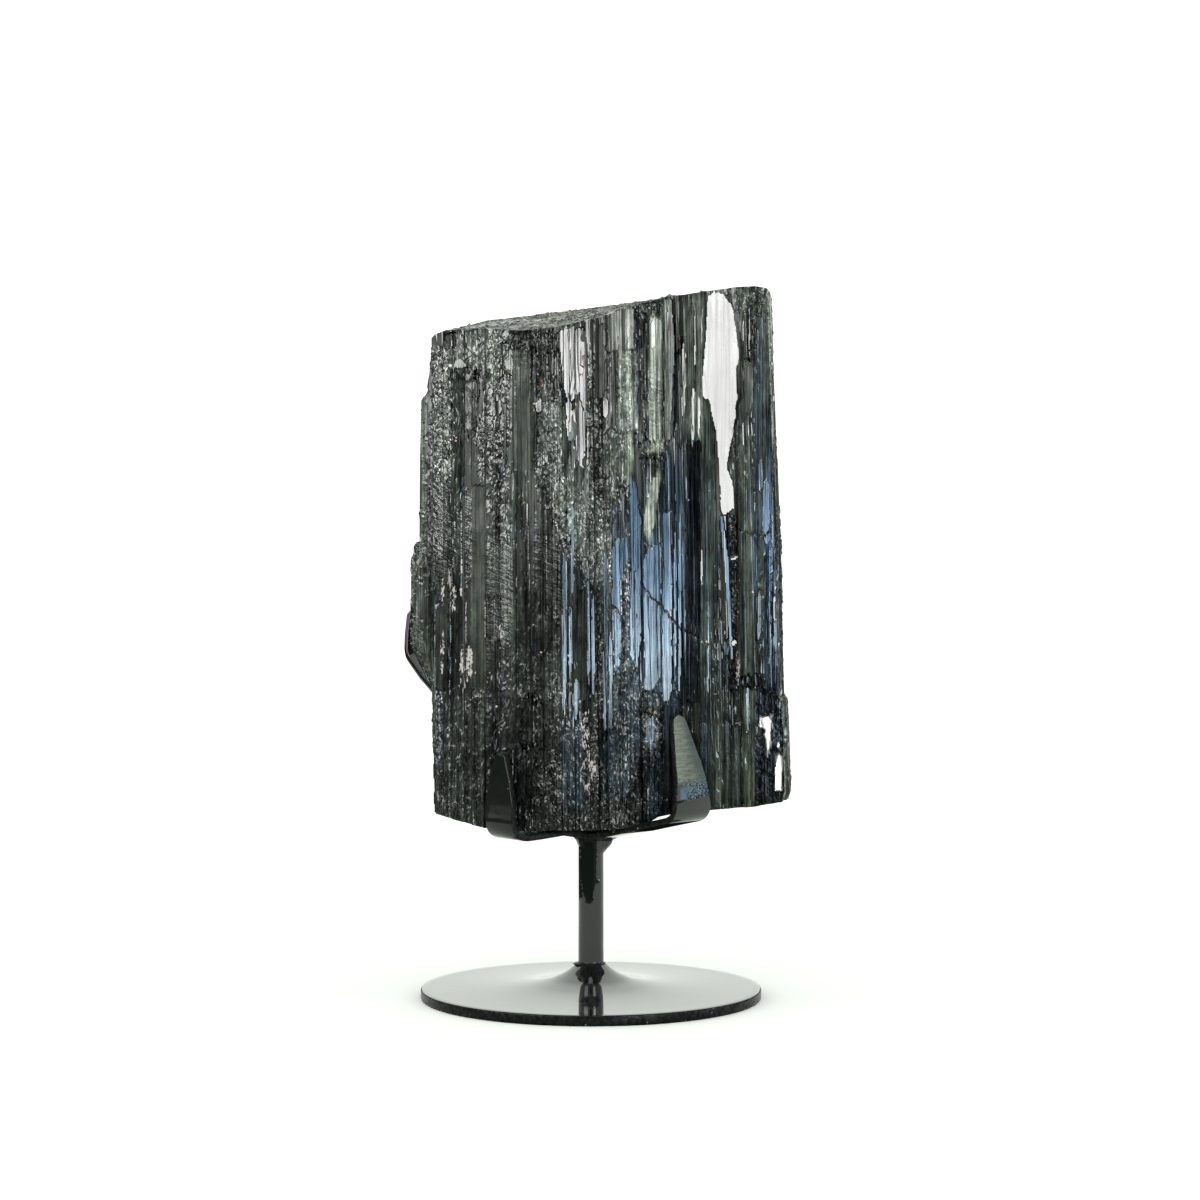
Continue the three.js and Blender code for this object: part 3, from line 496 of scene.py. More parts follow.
# Share of pinkish grains and painted glints, dullness, fine upright lines and slanting ripples: outline,
# amount, raggedness.
GRAINS_AND_GLINTS, DULL, LINES, RIPPLE = 0, 1, 2, 3
MARKS = {
    DULL: [
        (box(400, 280, 432, 830), 0.35, 1.0), (box(436, 560, 560, 700), 0.35, 5.0),
        (box(450, 368, 474, 430), 0.5, 4.5), (box(513, 331, 561, 350), 0.4, 4.5),
        (box(470, 484, 484, 690), 0.45, 0.8), (box(513, 362, 531, 560), 0.15, 1.0),
        (box(515, 575, 562, 690), 0.72, 4.0), (box(436, 660, 462, 700), 0.65, 3.0),
        (box(450, 560, 470, 660), 0.55, 3.0), (box(431, 556, 447, 694), 0.8, 1.5),
        (box(434, 740, 490, 835), 0.4, 3.0), (box(434, 696, 490, 740), 0.15, 3.0),
        (box(484, 700, 560, 835), 0.85, 5.0), (box(560, 728, 668, 835), 0.6, 5.0),
        (box(640, 745, 664, 835), 0.9, 2.0), (box(660, 700, 682, 835), 1.0, 0.6),
        (box(686, 440, 700, 705), 0.82, 1.0), (box(700, 560, 718, 820), 0.5, 2.0),
        (box(727, 515, 738, 700), 0.9, 0.6), (box(737, 440, 755, 675), 0.3, 0.8),
        (box(740, 690, 755, 806), 0.1, 1.0), (box(748, 688, 790, 803), 0.95, 1.0),
        (box(752, 296, 761, 600), 0.3, 0.5), (box(761, 314, 775, 460), 0.95, 3.0),
        (box(686, 300, 695, 412), 0.3, 0.8), (box(594, 325, 603, 398), 0.2, 0.5),
        (leaf(644, 714, 658, 750), 0.0, 1.0),
        ([(536, 470), (545, 400), (562, 400), (604, 515), (624, 575), (612, 592), (596, 590), (560, 545)],
          -0.7, 4.0),
        (box(776, 440, 790, 705), -0.8, 0.6), (box(432, 348, 451, 480), -0.35, 1.5),
    ],
    LINES: [
        (box(432, 330, 512, 700), 0.35, 1.0), (box(484, 700, 560, 830), 0.5, 4.0),
        (box(690, 300, 708, 440), 1.3, 1.0),
    ],
    RIPPLE: [
        (box(432, 480, 449, 570), 1.0, 3.0), (box(484, 540, 514, 640), 1.0, 4.0),
        ([(528, 530), (550, 535), (570, 600), (556, 612), (530, 575)], 1.0, 4.0),
        (box(513, 345, 545, 364), 0.6, 2.0), (box(594, 640, 608, 705), 0.9, 2.0),
        (box(640, 372, 662, 442), 0.35, 2.0), (box(452, 500, 474, 575), 0.6, 3.0),
    ],
    GRAINS_AND_GLINTS: [
        (leaf(446, 562, 451, 590), 1.6, 1.0), (leaf(459, 570, 466, 604), 1.6, 1.4),
        (leaf(448, 592, 455, 614), 1.6, 1.4), (box(434, 602, 446, 609), 1.5, 1.5),
        (leaf(440, 626, 445, 641), 1.5, 1.2), (leaf(437, 648, 443.5, 672), 1.6, 1.2),
        (leaf(466, 634, 471, 692), 1.42, 1.2), (leaf(459, 646, 465, 692), 1.4, 1.6),
        (leaf(497, 628, 503, 648), 1.5, 1.2), (leaf(537, 558, 545, 572), 1.3, 1.2),
        (leaf(502, 640, 508, 652), 1.3, 1.2), (box(484, 640, 560, 720), 0.28, 6.0),
        (box(490, 800, 600, 830), 0.5, 5.0), (box(520, 720, 600, 800), 0.25, 6.0),
        (leaf(581, 700, 597, 795), 0.84, 3.0),
        (leaf(565, 700, 575, 740), 0.6, 2.0), (leaf(605, 690, 616, 712), 0.8, 2.0),
        (leaf(645, 716, 656.5, 748), 0.62, 1.0), (leaf(600, 762, 628, 800), 0.5, 3.0),
        # From the box at u 727 on, these rows paint glints: light specks along edges and across the bright
        # hackly bands.
        (leaf(574, 812, 592, 828), 0.72, 3.0), (box(727, 515, 738, 690), 0.45, 0.6),
        (box(735, 652, 739.5, 704), 0.8, 0.6), (box(775, 430, 786, 700), 0.5, 0.6),
        (box(433, 352, 450, 480), 0.55, 1.5),
        ([(560, 490), (585, 495), (604, 515), (624, 575), (612, 592), (596, 590)], 0.58, 4.0),
        ([(545, 400), (562, 400), (575, 490), (560, 520), (540, 470)], 0.45, 3.0),
        (box(434, 700, 484, 800), 0.2, 5.0),
    ],
}


STRIPED_PANE = box(558, 326, 589, 478)


def ragged_hits(x, z, rows, seed):
    """For each row of outline, value and raggedness: where on the front it is, and its value."""
    u, v = chart(x, z)
    jag_u, jag_v = jagged(x * 1.8, z * 1.8, seed), jagged(x * 2.2, z * 1.4, seed + 2)
    for shape, value, rag in rows:
        yield inside(u + rag * jag_u, v + 2.2 * rag * jag_v, shape), value


def front_marks(x, z):
    marks = np.zeros(x.shape + (4,))
    marks[..., LINES] = 1.0
    for which, rows in MARKS.items():
        for hit, amount in ragged_hits(x, z, rows, 191):
            marks[hit, which] = amount
    u, v = chart(x, z)
    for shape, _, turn, _, _, uneven in PANES:
        if turn in (WHITE, BLUE, SKY):
            hit = inside(u, v, shape)
            marks[hit, DULL] = marks[hit, RIPPLE] = 0.0
            marks[hit, LINES] = 0.12 + uneven * 0.07 if turn == WHITE else 0.65
    striped = inside(u, v, STRIPED_PANE)
    marks[striped, LINES] = 0.42
    marks[striped, DULL] = -0.2
    return marks


def front_tones_and_painted_light(x, z):
    tone = np.empty(x.shape + (3,))
    tone[:] = (0.013, 0.0165, 0.0135)
    for hit, colour in ragged_hits(x, z, FRONT_TONES_AND_PAINTED_LIGHT, 91):
        tone[hit] = colour
    return tone


HIDDEN_TONE, HIDDEN_GREEN = np.array([0.014, 0.017, 0.0145]), np.array([0.03, 0.04, 0.03])


def hidden_looks(A, Z):
    """Tone and marks of the sides and the back."""
    green = smooth(0.2, 0.8, value_noise(A * 0.16, Z * 0.02, 501) + 0.4 * jagged(A, Z * 0.4, 502))
    dull = value_noise(A * 0.10, Z * 0.015, 512) + 0.3 * jagged(A, Z * 0.3, 513)
    marks = np.zeros(A.shape + (4,))
    marks[..., GRAINS_AND_GLINTS] = 0.5 * smooth(0.35, 0.6, value_noise(A * 0.12 + 9, Z * 0.03, 511))
    marks[..., DULL] = 0.75 * smooth(-0.2, 0.5, dull)
    marks[..., LINES] = 1.0
    marks[..., RIPPLE] = 0.9 * smooth(0.3, 0.5, value_noise(A * 0.09, Z * 0.03 + 4, 514))
    return HIDDEN_TONE + green[..., None] * HIDDEN_GREEN, marks


def crystal_points():
    """Points up the sides of the crystal, with their share of hackly break, tone and marks."""
    bx, by, nx, ny, side = outline()
    shares = np.linspace(0, 1, CRYSTAL_ROWS)
    arc = np.cumsum(np.hypot(np.diff(bx, prepend=bx[0]), np.diff(by, prepend=by[0])))
    X, Y, S, A = (np.tile(values, (CRYSTAL_ROWS, 1)) for values in (bx, by, side, arc))
    low, high = bottom_height(bx, by), top_height(bx, by)
    for _ in range(3):
        Z = low + (high - low) * shares[:, None]
        x, y = place(X, Y, S, Z, nx, ny, np.zeros(X.shape))
        low, high = bottom_height(x[0], y[0]), top_height(x[-1], y[-1])
    relief_front, hack_front = front_relief(X, x, Z)
    relief_back, hack_back = plain_relief(X, Z, 101, table(sorted(BACK_RIBS), X))
    relief_side, hack_side = plain_relief(A, Z, 201, 0.0)
    is_front, is_back = S == FRONT, S == BACK
    relief = np.where(is_front, relief_front, np.where(is_back, relief_back, relief_side * 0.7))
    hack = np.where(is_front, hack_front, np.where(is_back, hack_back, hack_side))
    tone, marks = hidden_looks(A, Z)
    tone = np.where(is_front[..., None], front_tones_and_painted_light(x, Z), tone)
    marks = np.where(is_front[..., None], front_marks(x, Z), marks)
    x, y = place(X, Y, S, Z, nx, ny, relief)
    return np.minimum(x, RIGHTMOST), y, Z, hack, tone, marks


CAP_CENTRE, CAP_RADIUS, CAP_GIRTH = np.array([2.0, 12.0]), 46, 340
CAP_SPACING = 0.75
UNDERSIDE_LIFT = 1.2


def underside_height(x, y):
    return bottom_height(x, y) + UNDERSIDE_LIFT


def broken_end(x, y, seed):
    """Relief of a broken end, column tops at their own heights under rubble, and the share of rubble."""
    wx = x + 1.5 * value_noise(x * 0.12, y * 0.12, seed + 5)
    wy = y + 1.5 * value_noise(x * 0.12, y * 0.12, seed + 6)
    columns = 6.5 * broken_facets(wx / 6.5, wy / 5.0, seed + 11, 0.11, 0.08)
    columns = columns + 2.4 * broken_facets(wx / 2.4, wy / 2.2, seed + 15, 0.16, 0.07)
    rubble = smooth(-0.2, 0.35, value_noise(x * 0.09, y * 0.09, seed + 17) + 0.4 * jagged(x, y, seed + 18))
    return columns + (0.2 + 0.9 * rubble) * hackly_break(x, y, seed), rubble


def zip_rings(ta, first_a, tb, first_b):
    """Triangles between two rings; ta and tb are the places of their points around, from 0 to 1."""
    na, nb = len(ta), len(tb)
    ta, tb = list(ta) + [1.0], list(tb) + [1.0]
    tris, i, j = [], 0, 0
    while i < na or j < nb:
        if j == nb or (i < na and ta[i + 1] <= tb[j + 1]):
            tris.append((first_a + i, first_a + (i + 1) % na, first_b + j % nb))
            i += 1
        else:
            tris.append((first_a + i % na, first_b + (j + 1) % nb, first_b + j))
            j += 1
    return tris


def end_cap(ring, first, number, height, seed):
    """Points, share of rubble and triangles of a broken end; ring is its rim, numbered from first."""
    step = np.hypot(*(np.roll(ring, -1, axis=0) - ring)[:, :2].T)
    at = np.concatenate([[0], np.cumsum(step)[:-1]]) / step.sum()
    rim, around = np.vstack([ring, ring[:1]]), np.append(at, 1)
    points, shares, tris = [], [], []
    last_at, last_first = at, first
    for k, share in enumerate(np.concatenate([[0.992], np.arange(0.978, 0.03, -CAP_SPACING / CAP_RADIUS)])):
        count = max(6, int(CAP_GIRTH * share / CAP_SPACING))
        t = (np.arange(count) + 0.5 * (k % 2)) / count
        points.append(np.stack([np.interp(t, around, rim[:, axis]) for axis in range(3)], axis=1))
        shares.append(np.full(count, share))
        tris += zip_rings(last_at, last_first, t, number)
        last_at, last_first = t, number
        number += count
    tris += [(last_first + i, last_first + (i + 1) % count, number) for i in range(count)]
    edge, share = np.vstack(points), np.append(np.concatenate(shares), 0.0)
    edge = np.vstack([edge, ring.mean(0)])
    x, y = (CAP_CENTRE + (edge[:, :2] - CAP_CENTRE) * share[:, None]).T
    soft = smooth(1.0, 0.93, share)
    relief, rubble = broken_end(x, y, seed)
    rise = (edge[:, 2] - height(edge[:, 0], edge[:, 1])) * (1 - soft)
    lift = np.minimum(relief - 0.7, 3 * smooth(0.98, 0.8, share))
    z = np.minimum(height(x, y) + rise + soft * lift, TOPMOST)
    return np.stack([x, y, z], axis=1), rubble, np.array(tris)


def ring_quads(rows, count):
    """Four-sided faces between the rings of rows x count points."""
    r, k = np.meshgrid(np.arange(rows - 1), np.arange(count), indexing="ij")
    a, b = r * count + k, r * count + (k + 1) % count
    return np.stack([a, b, b + count, a + count], axis=-1).reshape(-1, 4)


def mesh_from(name, verts, quads, tris):
    """Mesh from points in millimetres and arrays of faces."""
    mesh = bpy.data.meshes.new(name)
    mesh.from_pydata(verts * MM, [], quads.tolist() + tris.tolist())
    mesh.validate()
    return mesh


def mesh_from_rings(name, rings, low, high):
    """Closed mesh through rings of points, rows x count x 3, with a point closing each end."""
    rows, count, _ = rings.shape
    first, last, k = rows * count, (rows - 1) * count, np.arange(count)
    fan_low = np.stack([np.full(count, first), (k + 1) % count, k], axis=1)
    fan_high = np.stack([np.full(count, first + 1), last + k, last + (k + 1) % count], axis=1)
    verts = np.vstack([rings.reshape(-1, 3), [low], [high]])
    return mesh_from(name, verts, ring_quads(rows, count), np.vstack([fan_low, fan_high]))


def store(mesh, name, values):
    """Keep one number or four a point under a name that the materials read."""
    kind, field = ("FLOAT", "value") if values.ndim == 1 else ("FLOAT_COLOR", "color")
    mesh.attributes.new(name, kind, "POINT").data.foreach_set(field, values.ravel().astype(np.float32))


def end_looks(points, rubble, seed):
    """Hackly share, tone and marks of a broken end."""
    x, y = points[:, 0], points[:, 1]
    patch = smooth(-0.3, 0.4, value_noise(x * 0.11, y * 0.11, seed) + 0.4 * jagged(x, y, seed + 1))[:, None]
    tone = np.array([0.020, 0.024, 0.019]) * (1 - patch) + np.array([0.062, 0.070, 0.057]) * patch
    marks = np.stack([0.2 + 0.35 * patch[:, 0], 0.75 - 0.3 * rubble, 0 * x, 0.6 * (1 - rubble)], axis=1)
    return 0.2 + 0.7 * rubble, tone, marks


def crystal_mesh():
    x, y, z, hack, tone, marks = crystal_points()
    rows, count = x.shape
    side = np.stack([x, y, z], axis=-1)
    low, rubble_low, tris_low = end_cap(side[0], 0, rows * count, underside_height, 401)
    last, next_point = (rows - 1) * count, rows * count + len(low)
    high, rubble_high, tris_high = end_cap(side[-1], last, next_point, top_height, 301)
    verts = np.vstack([side.reshape(-1, 3), low, high])
    ends = np.vstack([tris_low[:, ::-1], tris_high])
    mesh = mesh_from("tourmaline_crystal", verts, ring_quads(rows, count), ends)
    hack_low, tone_low, marks_low = end_looks(low, rubble_low, 421)
    hack_high, tone_high, marks_high = end_looks(high, rubble_high, 321)
    colour = np.vstack([tone.reshape(-1, 3), tone_low, tone_high])
    store(mesh, "marks", np.vstack([marks.reshape(-1, 4), marks_low, marks_high]))
    store(mesh, "hackly", np.concatenate([hack.ravel(), hack_low, hack_high]))
    # The tone holds the crystal's own tones and, on the front, painted shade, painted highlights and painted
    # blue reflection.
    store(mesh, "tone", np.hstack([colour, np.ones((len(colour), 1))]))
    return mesh


def thin_out(obj, triangles):
    """Collapse edges until the mesh has about this many triangles."""
    now = sum(len(p.vertices) - 2 for p in obj.data.polygons)
    modifier = obj.modifiers.new("thin", "DECIMATE")
    modifier.ratio = triangles / now
    graph = bpy.context.evaluated_depsgraph_get()
    made = bpy.data.meshes.new_from_object(obj.evaluated_get(graph))
    obj.modifiers.clear()
    obj.data = made


# ---------------------------------------------------------------- materials

# The cells of noise are given in millimetres, all other lengths in metres.

class Nodes:
    """Short way of building a node tree around a Principled shader."""

    def __init__(self, name):
        self.material = bpy.data.materials.new(name)
        self.material.use_nodes = True
        self.tree = self.material.node_tree
        self.shader = self.tree.nodes["Principled BSDF"]

    def feed(self, socket, value):
        """Link a socket to another one, or set its own value."""
        if isinstance(value, bpy.types.NodeSocket):
            self.tree.links.new(value, socket)
        else:
            socket.default_value = value

    def shade(self, **inputs):
        """Feed the shader's inputs."""
        for key, value in inputs.items():
            self.feed(self.shader.inputs[key.replace("_", " ")], value)

    def glow(self, colour, strength):
        """Emit light instead of using the Principled shader."""
        self.tree.nodes.remove(self.shader)
        lamp_node = self.add("Emission", Color=colour, Strength=strength)
        self.feed(self.tree.nodes["Material Output"].inputs["Surface"], lamp_node.outputs["Emission"])
        return self.material

    def add(self, kind, **inputs):
        node = self.tree.nodes.new("ShaderNode" + kind)
        for key, value in inputs.items():
            self.feed(node.inputs[key.replace("_", " ")], value)
        return node

    def math(self, operation, a, b=0.0):
        node = self.add("Math")
        node.operation = operation
        self.feed(node.inputs[0], a)
        self.feed(node.inputs[1], b)
        return node.outputs[0]

    def times(self, a, b):
        return self.math("MULTIPLY", a, b)

    def plus(self, a, b):
        return self.math("ADD", a, b)

    def minus(self, a, b):
        return self.math("SUBTRACT", a, b)

    def vector(self, operation, a, b=(0, 0, 0)):
        node = self.add("VectorMath")
        node.operation = operation
        self.feed(node.inputs[0], a)
        self.feed(node.inputs["Scale" if operation == "SCALE" else 1], b)
        return node.outputs["Vector"]

    def span(self, value, a, b, c, d):
        """Map a..b to c..d with soft ends."""
        node = self.add("MapRange", Value=value, From_Min=a, From_Max=b, To_Min=c, To_Max=d)
        node.interpolation_type = "SMOOTHSTEP"
        return node.outputs["Result"]

    def mix(self, factor, a, b):
        node = self.add("Mix")
        node.data_type = "RGBA"
        for socket, value in zip((node.inputs[0], node.inputs[6], node.inputs[7]), (factor, a, b)):
            self.feed(socket, (*value, 1) if isinstance(value, tuple) else value)
        return node.outputs[2]

    def place(self):
        return self.add("TexCoord").outputs["Object"]

    def split(self, vector):
        return self.add("SeparateXYZ", Vector=vector).outputs

    def attribute(self, name):
        node = self.add("Attribute")
        node.attribute_name = name
        return node.outputs

    def cells(self, size, place=None):
        """A place, in the object unless given, in cells of a size in millimetres: (x, y, z) or one value."""
        x, y, z = size if isinstance(size, tuple) else (size,) * 3
        scale = (1000 / x, 1000 / y, 1000 / z)
        return self.add("Mapping", Vector=place or self.place(), Scale=scale).outputs["Vector"]

    def noise(self, size, detail=2.0, roughness=0.5, out="Fac", place=None):
        cells = self.cells(size, place)
        return self.add("TexNoise", Vector=cells, Scale=1.0, Detail=detail, Roughness=roughness).outputs[out]

    def voronoi(self, cells):
        return self.add("TexVoronoi", Vector=cells, Scale=1.0).outputs

    def bump(self, height, distance, strength=1.0, **normal):
        node = self.add("Bump", Height=height, Distance=distance, Strength=strength, **normal)
        return node.outputs["Normal"]


LACQUER_BLACK = (0.0075, 0.0095, 0.0085)
LACQUER_IOR, CRYSTAL_IOR = 1.53, 1.64
COATING_AND_GLINT, ORANGE_GRAIN = (0.45, 0.40, 0.395), (0.50, 0.34, 0.28)
RIPPLE_SLANT = math.radians(-28)


def crystal_colour(n, tone, grains_and_glints_here, lines, bands, mottle):
    """Green-black, lighter and darker along upright lines, with rare orange grains, pinkish coatings and
    painted glints.
    """
    shade = n.times(n.span(bands, 0.34, 0.66, 0.45, 1.5), n.span(lines, 0.35, 0.65, 0.5, 1.5))
    shade = n.times(shade, n.span(mottle, 0.35, 0.65, 0.5, 1.5))
    # The tone brings the front's painted shade, highlights and blue reflection into the colour.
    dark = n.vector("SCALE", tone, shade)
    dots = n.math("LESS_THAN", n.voronoi(n.cells(5.5))["Distance"], 0.06)
    dot = n.times(dots, n.math("GREATER_THAN", n.noise((9, 9, 12), 1.0), 0.55))
    crust = n.noise((0.42, 0.42, 1.05), 4.0, 0.62)
    cluster = n.noise((3.2, 3.2, 5.5), 3.0, 0.6)
    many = n.times(grains_and_glints_here, n.span(cluster, 0.38, 0.58, 0.3, 1.12))
    many = n.math("MINIMUM", n.math("MAXIMUM", many, n.minus(grains_and_glints_here, 0.85)), 1.0)
    edge = n.minus(0.86, n.times(many, 0.40))
    coated_and_glints = n.span(n.minus(crust, edge), 0.0, 0.02, 0.0, 1.0)
    n.shade(Base_Color=n.mix(dot, n.mix(coated_and_glints, dark, COATING_AND_GLINT), ORANGE_GRAIN))
    return coated_and_glints


def crystal_gloss(n, dull_here, lines_here, lines, bands, mottle, sparkle):
    """Gloss: lower along fine upright lines and in dull places, uneven where it is broken."""
    clouds = n.noise((5.5, 5.5, 13), 3.0, 0.6)
    line_gap = n.times(n.span(lines, 0.40, 0.50, 0.72, 0.0), lines_here)
    band_gap = n.times(n.span(bands, 0.38, 0.52, 0.45, 0.0), lines_here)
    cloud_gap = n.times(n.span(clouds, 0.38, 0.62, 0.45, 0.0), lines_here)
    faded = n.times(dull_here, n.span(mottle, 0.35, 0.65, 0.85, 0.5))
    gloss = n.minus(1.0, line_gap)
    for gap in (band_gap, cloud_gap, faded):
        gloss = n.times(gloss, n.minus(1.0, gap))
    gloss = n.times(gloss, n.plus(1.0, sparkle))
    n.shade(Specular_IOR_Level=n.times(gloss, 0.6))


def crystal_normal(n, broken, lines_here, ripple_here, lines, facet):
    """Upright lines, slanting ripples, crumbs, and small facets that lean toward the lamps on the left."""
    upright = n.bump(lines, 0.00006, n.times(lines_here, 0.8))
    turned = n.add("Mapping", Vector=n.place(), Rotation=(0, RIPPLE_SLANT, 0)).outputs["Vector"]
    waves = n.noise((4.6, 4.6, 1.35), 3.0, 0.6, place=turned)
    rippled = n.bump(waves, 0.0009, ripple_here, Normal=upright)
    crumbs = n.noise((0.75, 0.75, 0.95), 3.0, 0.62)
    rubble = n.bump(crumbs, 0.00020, n.times(broken, 0.9), Normal=rippled)
    x, y, _ = n.split(n.place())
    leftward = n.times(n.span(x, -0.012, 0.004, 1.0, 0.0), n.span(y, -0.010, -0.002, 1.0, 0.0))
    tilt = n.vector("SUBTRACT", facet, (0.5, 0.5, 0.5))
    tilt = n.vector("SUBTRACT", tilt, n.vector("SCALE", (0.24, 0.0, -0.10), leftward))
    tilt = n.vector("SCALE", tilt, n.times(broken, n.span(leftward, 0.0, 1.0, 0.95, 0.82)))
    n.shade(Normal=n.vector("NORMALIZE", n.vector("ADD", rubble, tilt)))


def crystal_material():
    n = Nodes("tourmaline")
    marks = n.attribute("marks")
    grains_and_glints_here, dull_here, lines_here = n.split(marks["Color"])
    swarm = n.noise((4.2, 4.2, 7.5), 3.0, 0.6)
    broken = n.times(n.attribute("hackly")["Fac"], n.span(swarm, 0.38, 0.58, 0.35, 1.2))
    lines = n.noise((0.42, 0.42, 26), 3.0, 0.55)
    bands = n.noise((1.7, 1.7, 60), 3.0, 0.6)
    mottle = n.noise((2.6, 2.6, 6.5), 4.0, 0.65)
    grain = n.noise((0.8, 0.8, 1.0), 3.0, 0.6)
    coated_and_glints = crystal_colour(n, n.attribute("tone")["Color"], grains_and_glints_here, lines, bands, mottle)
    rough = n.plus(n.span(grain, 0.3, 0.7, 0.05, 0.12), n.times(dull_here, 0.08))
    n.shade(IOR=CRYSTAL_IOR, Roughness=n.plus(rough, n.times(coated_and_glints, 0.4)))
    stir = n.noise(0.7, 1.0, out="Color")
    facet = n.voronoi(n.vector("ADD", n.cells((0.68, 0.68, 0.85)), n.vector("SCALE", stir, 0.8)))["Color"]
    sparkle = n.times(n.span(n.split(facet)["Y"], 0.25, 0.75, -0.6, 1.0), n.math("MINIMUM", broken, 1.0))
    crystal_gloss(n, dull_here, lines_here, lines, bands, mottle, sparkle)
    crystal_normal(n, broken, lines_here, marks["Alpha"], lines, facet)
    return n.material


def lacquer_material(name, worn, ior=LACQUER_IOR, haze=0.0, foot=0.0040):
    """Gloss black lacquer; worn is the share of waves and pimples, foot the radius of the dull weld."""
    n = Nodes(name)
    wavy, pimples = n.noise(9), n.noise(0.9)
    speck = n.math("LESS_THAN", n.voronoi(n.cells(4.2))["Distance"], 0.045)
    x, y, z = n.split(n.place())
    off_axis = n.math("SQRT", n.plus(n.math("POWER", x, 2.0), n.math("POWER", y, 2.0)))
    near_foot = n.times(n.span(off_axis, foot, foot + 0.0006, 1.0, 0.0), n.span(z, 0.0106, 0.0109, 1.0, 0.0))
    run = n.attribute("run")["Fac"]
    dulled = n.math("MAXIMUM", near_foot, n.span(run, 0.35, 0.65, 0.0, 1.0))
    rough = n.plus(n.span(pimples, 0.3, 0.7, 0.03 + haze, 0.06 + haze), n.times(speck, 0.4))
    soft = n.bump(wavy, 0.00012 * worn)
    n.shade(IOR=ior, Base_Color=n.mix(speck, LACQUER_BLACK, (0.16, 0.16, 0.15)),
            Roughness=n.plus(rough, n.times(near_foot, 0.3)),
            Specular_IOR_Level=n.span(dulled, 0.0, 1.0, 0.5, 0.06),
            Normal=n.bump(pimples, 0.000006 * worn, Normal=soft))
    return n.material


def shaded_edge_material():
    """Thick, dull lacquer with tiny chips, a darker copy of the gloss: painted shade on cut edges,
    undersides, level stretches under the crystal and the disc rim.
    """
    n = Nodes("stand_shaded_edge")
    lumps = n.noise(1.3, 3.0, 0.6)
    chips = n.voronoi(n.cells((2.6, 2.6, 2.0)))["Distance"]
    chip = n.times(n.math("LESS_THAN", chips, 0.11), n.math("GREATER_THAN", lumps, 0.52))
    upward = n.split(n.add("NewGeometry").outputs["Normal"])["Z"]
    # Faces turned downward get no shine: painted shade under the bars.
    shine = n.times(n.span(lumps, 0.35, 0.65, 0.03, 0.12), n.span(upward, -0.8, -0.6, 0.0, 1.0))
    n.shade(IOR=LACQUER_IOR, Base_Color=n.mix(chip, (0.005, 0.0055, 0.005), (0.22, 0.22, 0.21)),
            Roughness=n.span(lumps, 0.3, 0.7, 0.16, 0.34), Specular_IOR_Level=shine,
            Normal=n.bump(lumps, 0.00012))
    return n.material


def sanded_material():
    """Lacquer with a sanded, grey-green outer face, partly painted bluish as a reflection, that shines near
    its foot.
    """
    n = Nodes("stand_sanded")
    x, _, z = n.split(n.place())
    grain = n.noise((0.55, 0.55, 0.4), 3.0, 0.65)
    speckle = n.noise(1.1, 4.0, 0.75)
    brush = n.noise((4.5, 4.5, 0.42), 3.0, 0.6)
    dull = n.span(n.plus(z, n.times(speckle, 0.008)), 0.0705, 0.0733, 0.0, 1.0)
    above_bend = n.minus(n.minus(z, 0.0567), n.times(x, 0.19))
    above = n.span(above_bend, 0.0002, 0.0008, 0.0, 1.0)
    across = n.plus(x, n.times(speckle, 0.006))
    gritty = n.times(n.span(across, 0.0290, 0.0318, 0.0, 1.0), above)
    from_reflection_edge = n.minus(n.minus(0.0522, x), n.times(z, 0.29))
    sanded = n.mix(n.span(brush, 0.38, 0.62, 0.0, 1.0), (0.050, 0.062, 0.047), (0.135, 0.155, 0.12))
    sanded = n.mix(n.span(grain, 0.3, 0.7, 0.0, 0.5), sanded, (0.15, 0.165, 0.14))
    # Bluish on one side of a slanting line across the face: a painted blue reflection.
    sanded = n.mix(n.span(from_reflection_edge, 0.0004, 0.0024, 0.65, 0.0), sanded, (0.050, 0.068, 0.082))
    grit = n.mix(n.span(grain, 0.48, 0.60, 0.0, 1.0), (0.008, 0.011, 0.014), (0.15, 0.19, 0.23))
    rough = n.math("MAXIMUM", n.span(dull, 0.0, 1.0, 0.06, 0.42), n.times(gritty, 0.3))
    line = n.times(above, n.span(above_bend, 0.0010, 0.0016, 1.0, 0.0))
    relief = n.bump(grain, 0.00006, n.plus(n.times(dull, 0.9), 0.03))
    bent = n.vector("SCALE", (0.0, 0.0, -0.2), n.minus(1.0, above))
    colour = n.mix(dull, n.mix(gritty, LACQUER_BLACK, grit), sanded)
    n.shade(IOR=LACQUER_IOR, Base_Color=colour, Roughness=rough,
            Specular_IOR_Level=n.times(n.span(gritty, 0.0, 1.0, 0.5, 0.15), n.minus(1.0, line)),
            Normal=n.vector("NORMALIZE", n.vector("ADD", relief, bent)))
    return n.material


# ---------------------------------------------------------------- the pieces

def add_object(name, data):
    """Object in the scene for a mesh or a camera."""
    obj = bpy.data.objects.new(name, data)
    scene.collection.objects.link(obj)
    return obj


def dress(obj, node):
    """Let a visible piece ride on the body in place of a CAD node."""
    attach(obj, "root")
    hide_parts(node)
    return obj


def stand_piece(name, mesh, material):
    mesh.shade_smooth()
    mesh.materials.append(material)
    return dress(add_object(name + "_dressed", mesh), name)


crystal = add_object("tourmaline_crystal", crystal_mesh())
thin_out(crystal, CRYSTAL_TRIANGLES)
crystal.data.shade_flat()
crystal.data.materials.append(crystal_material())
dress(crystal, "tourmaline")


# ---------------------------------------------------------------- the stand, in millimetres

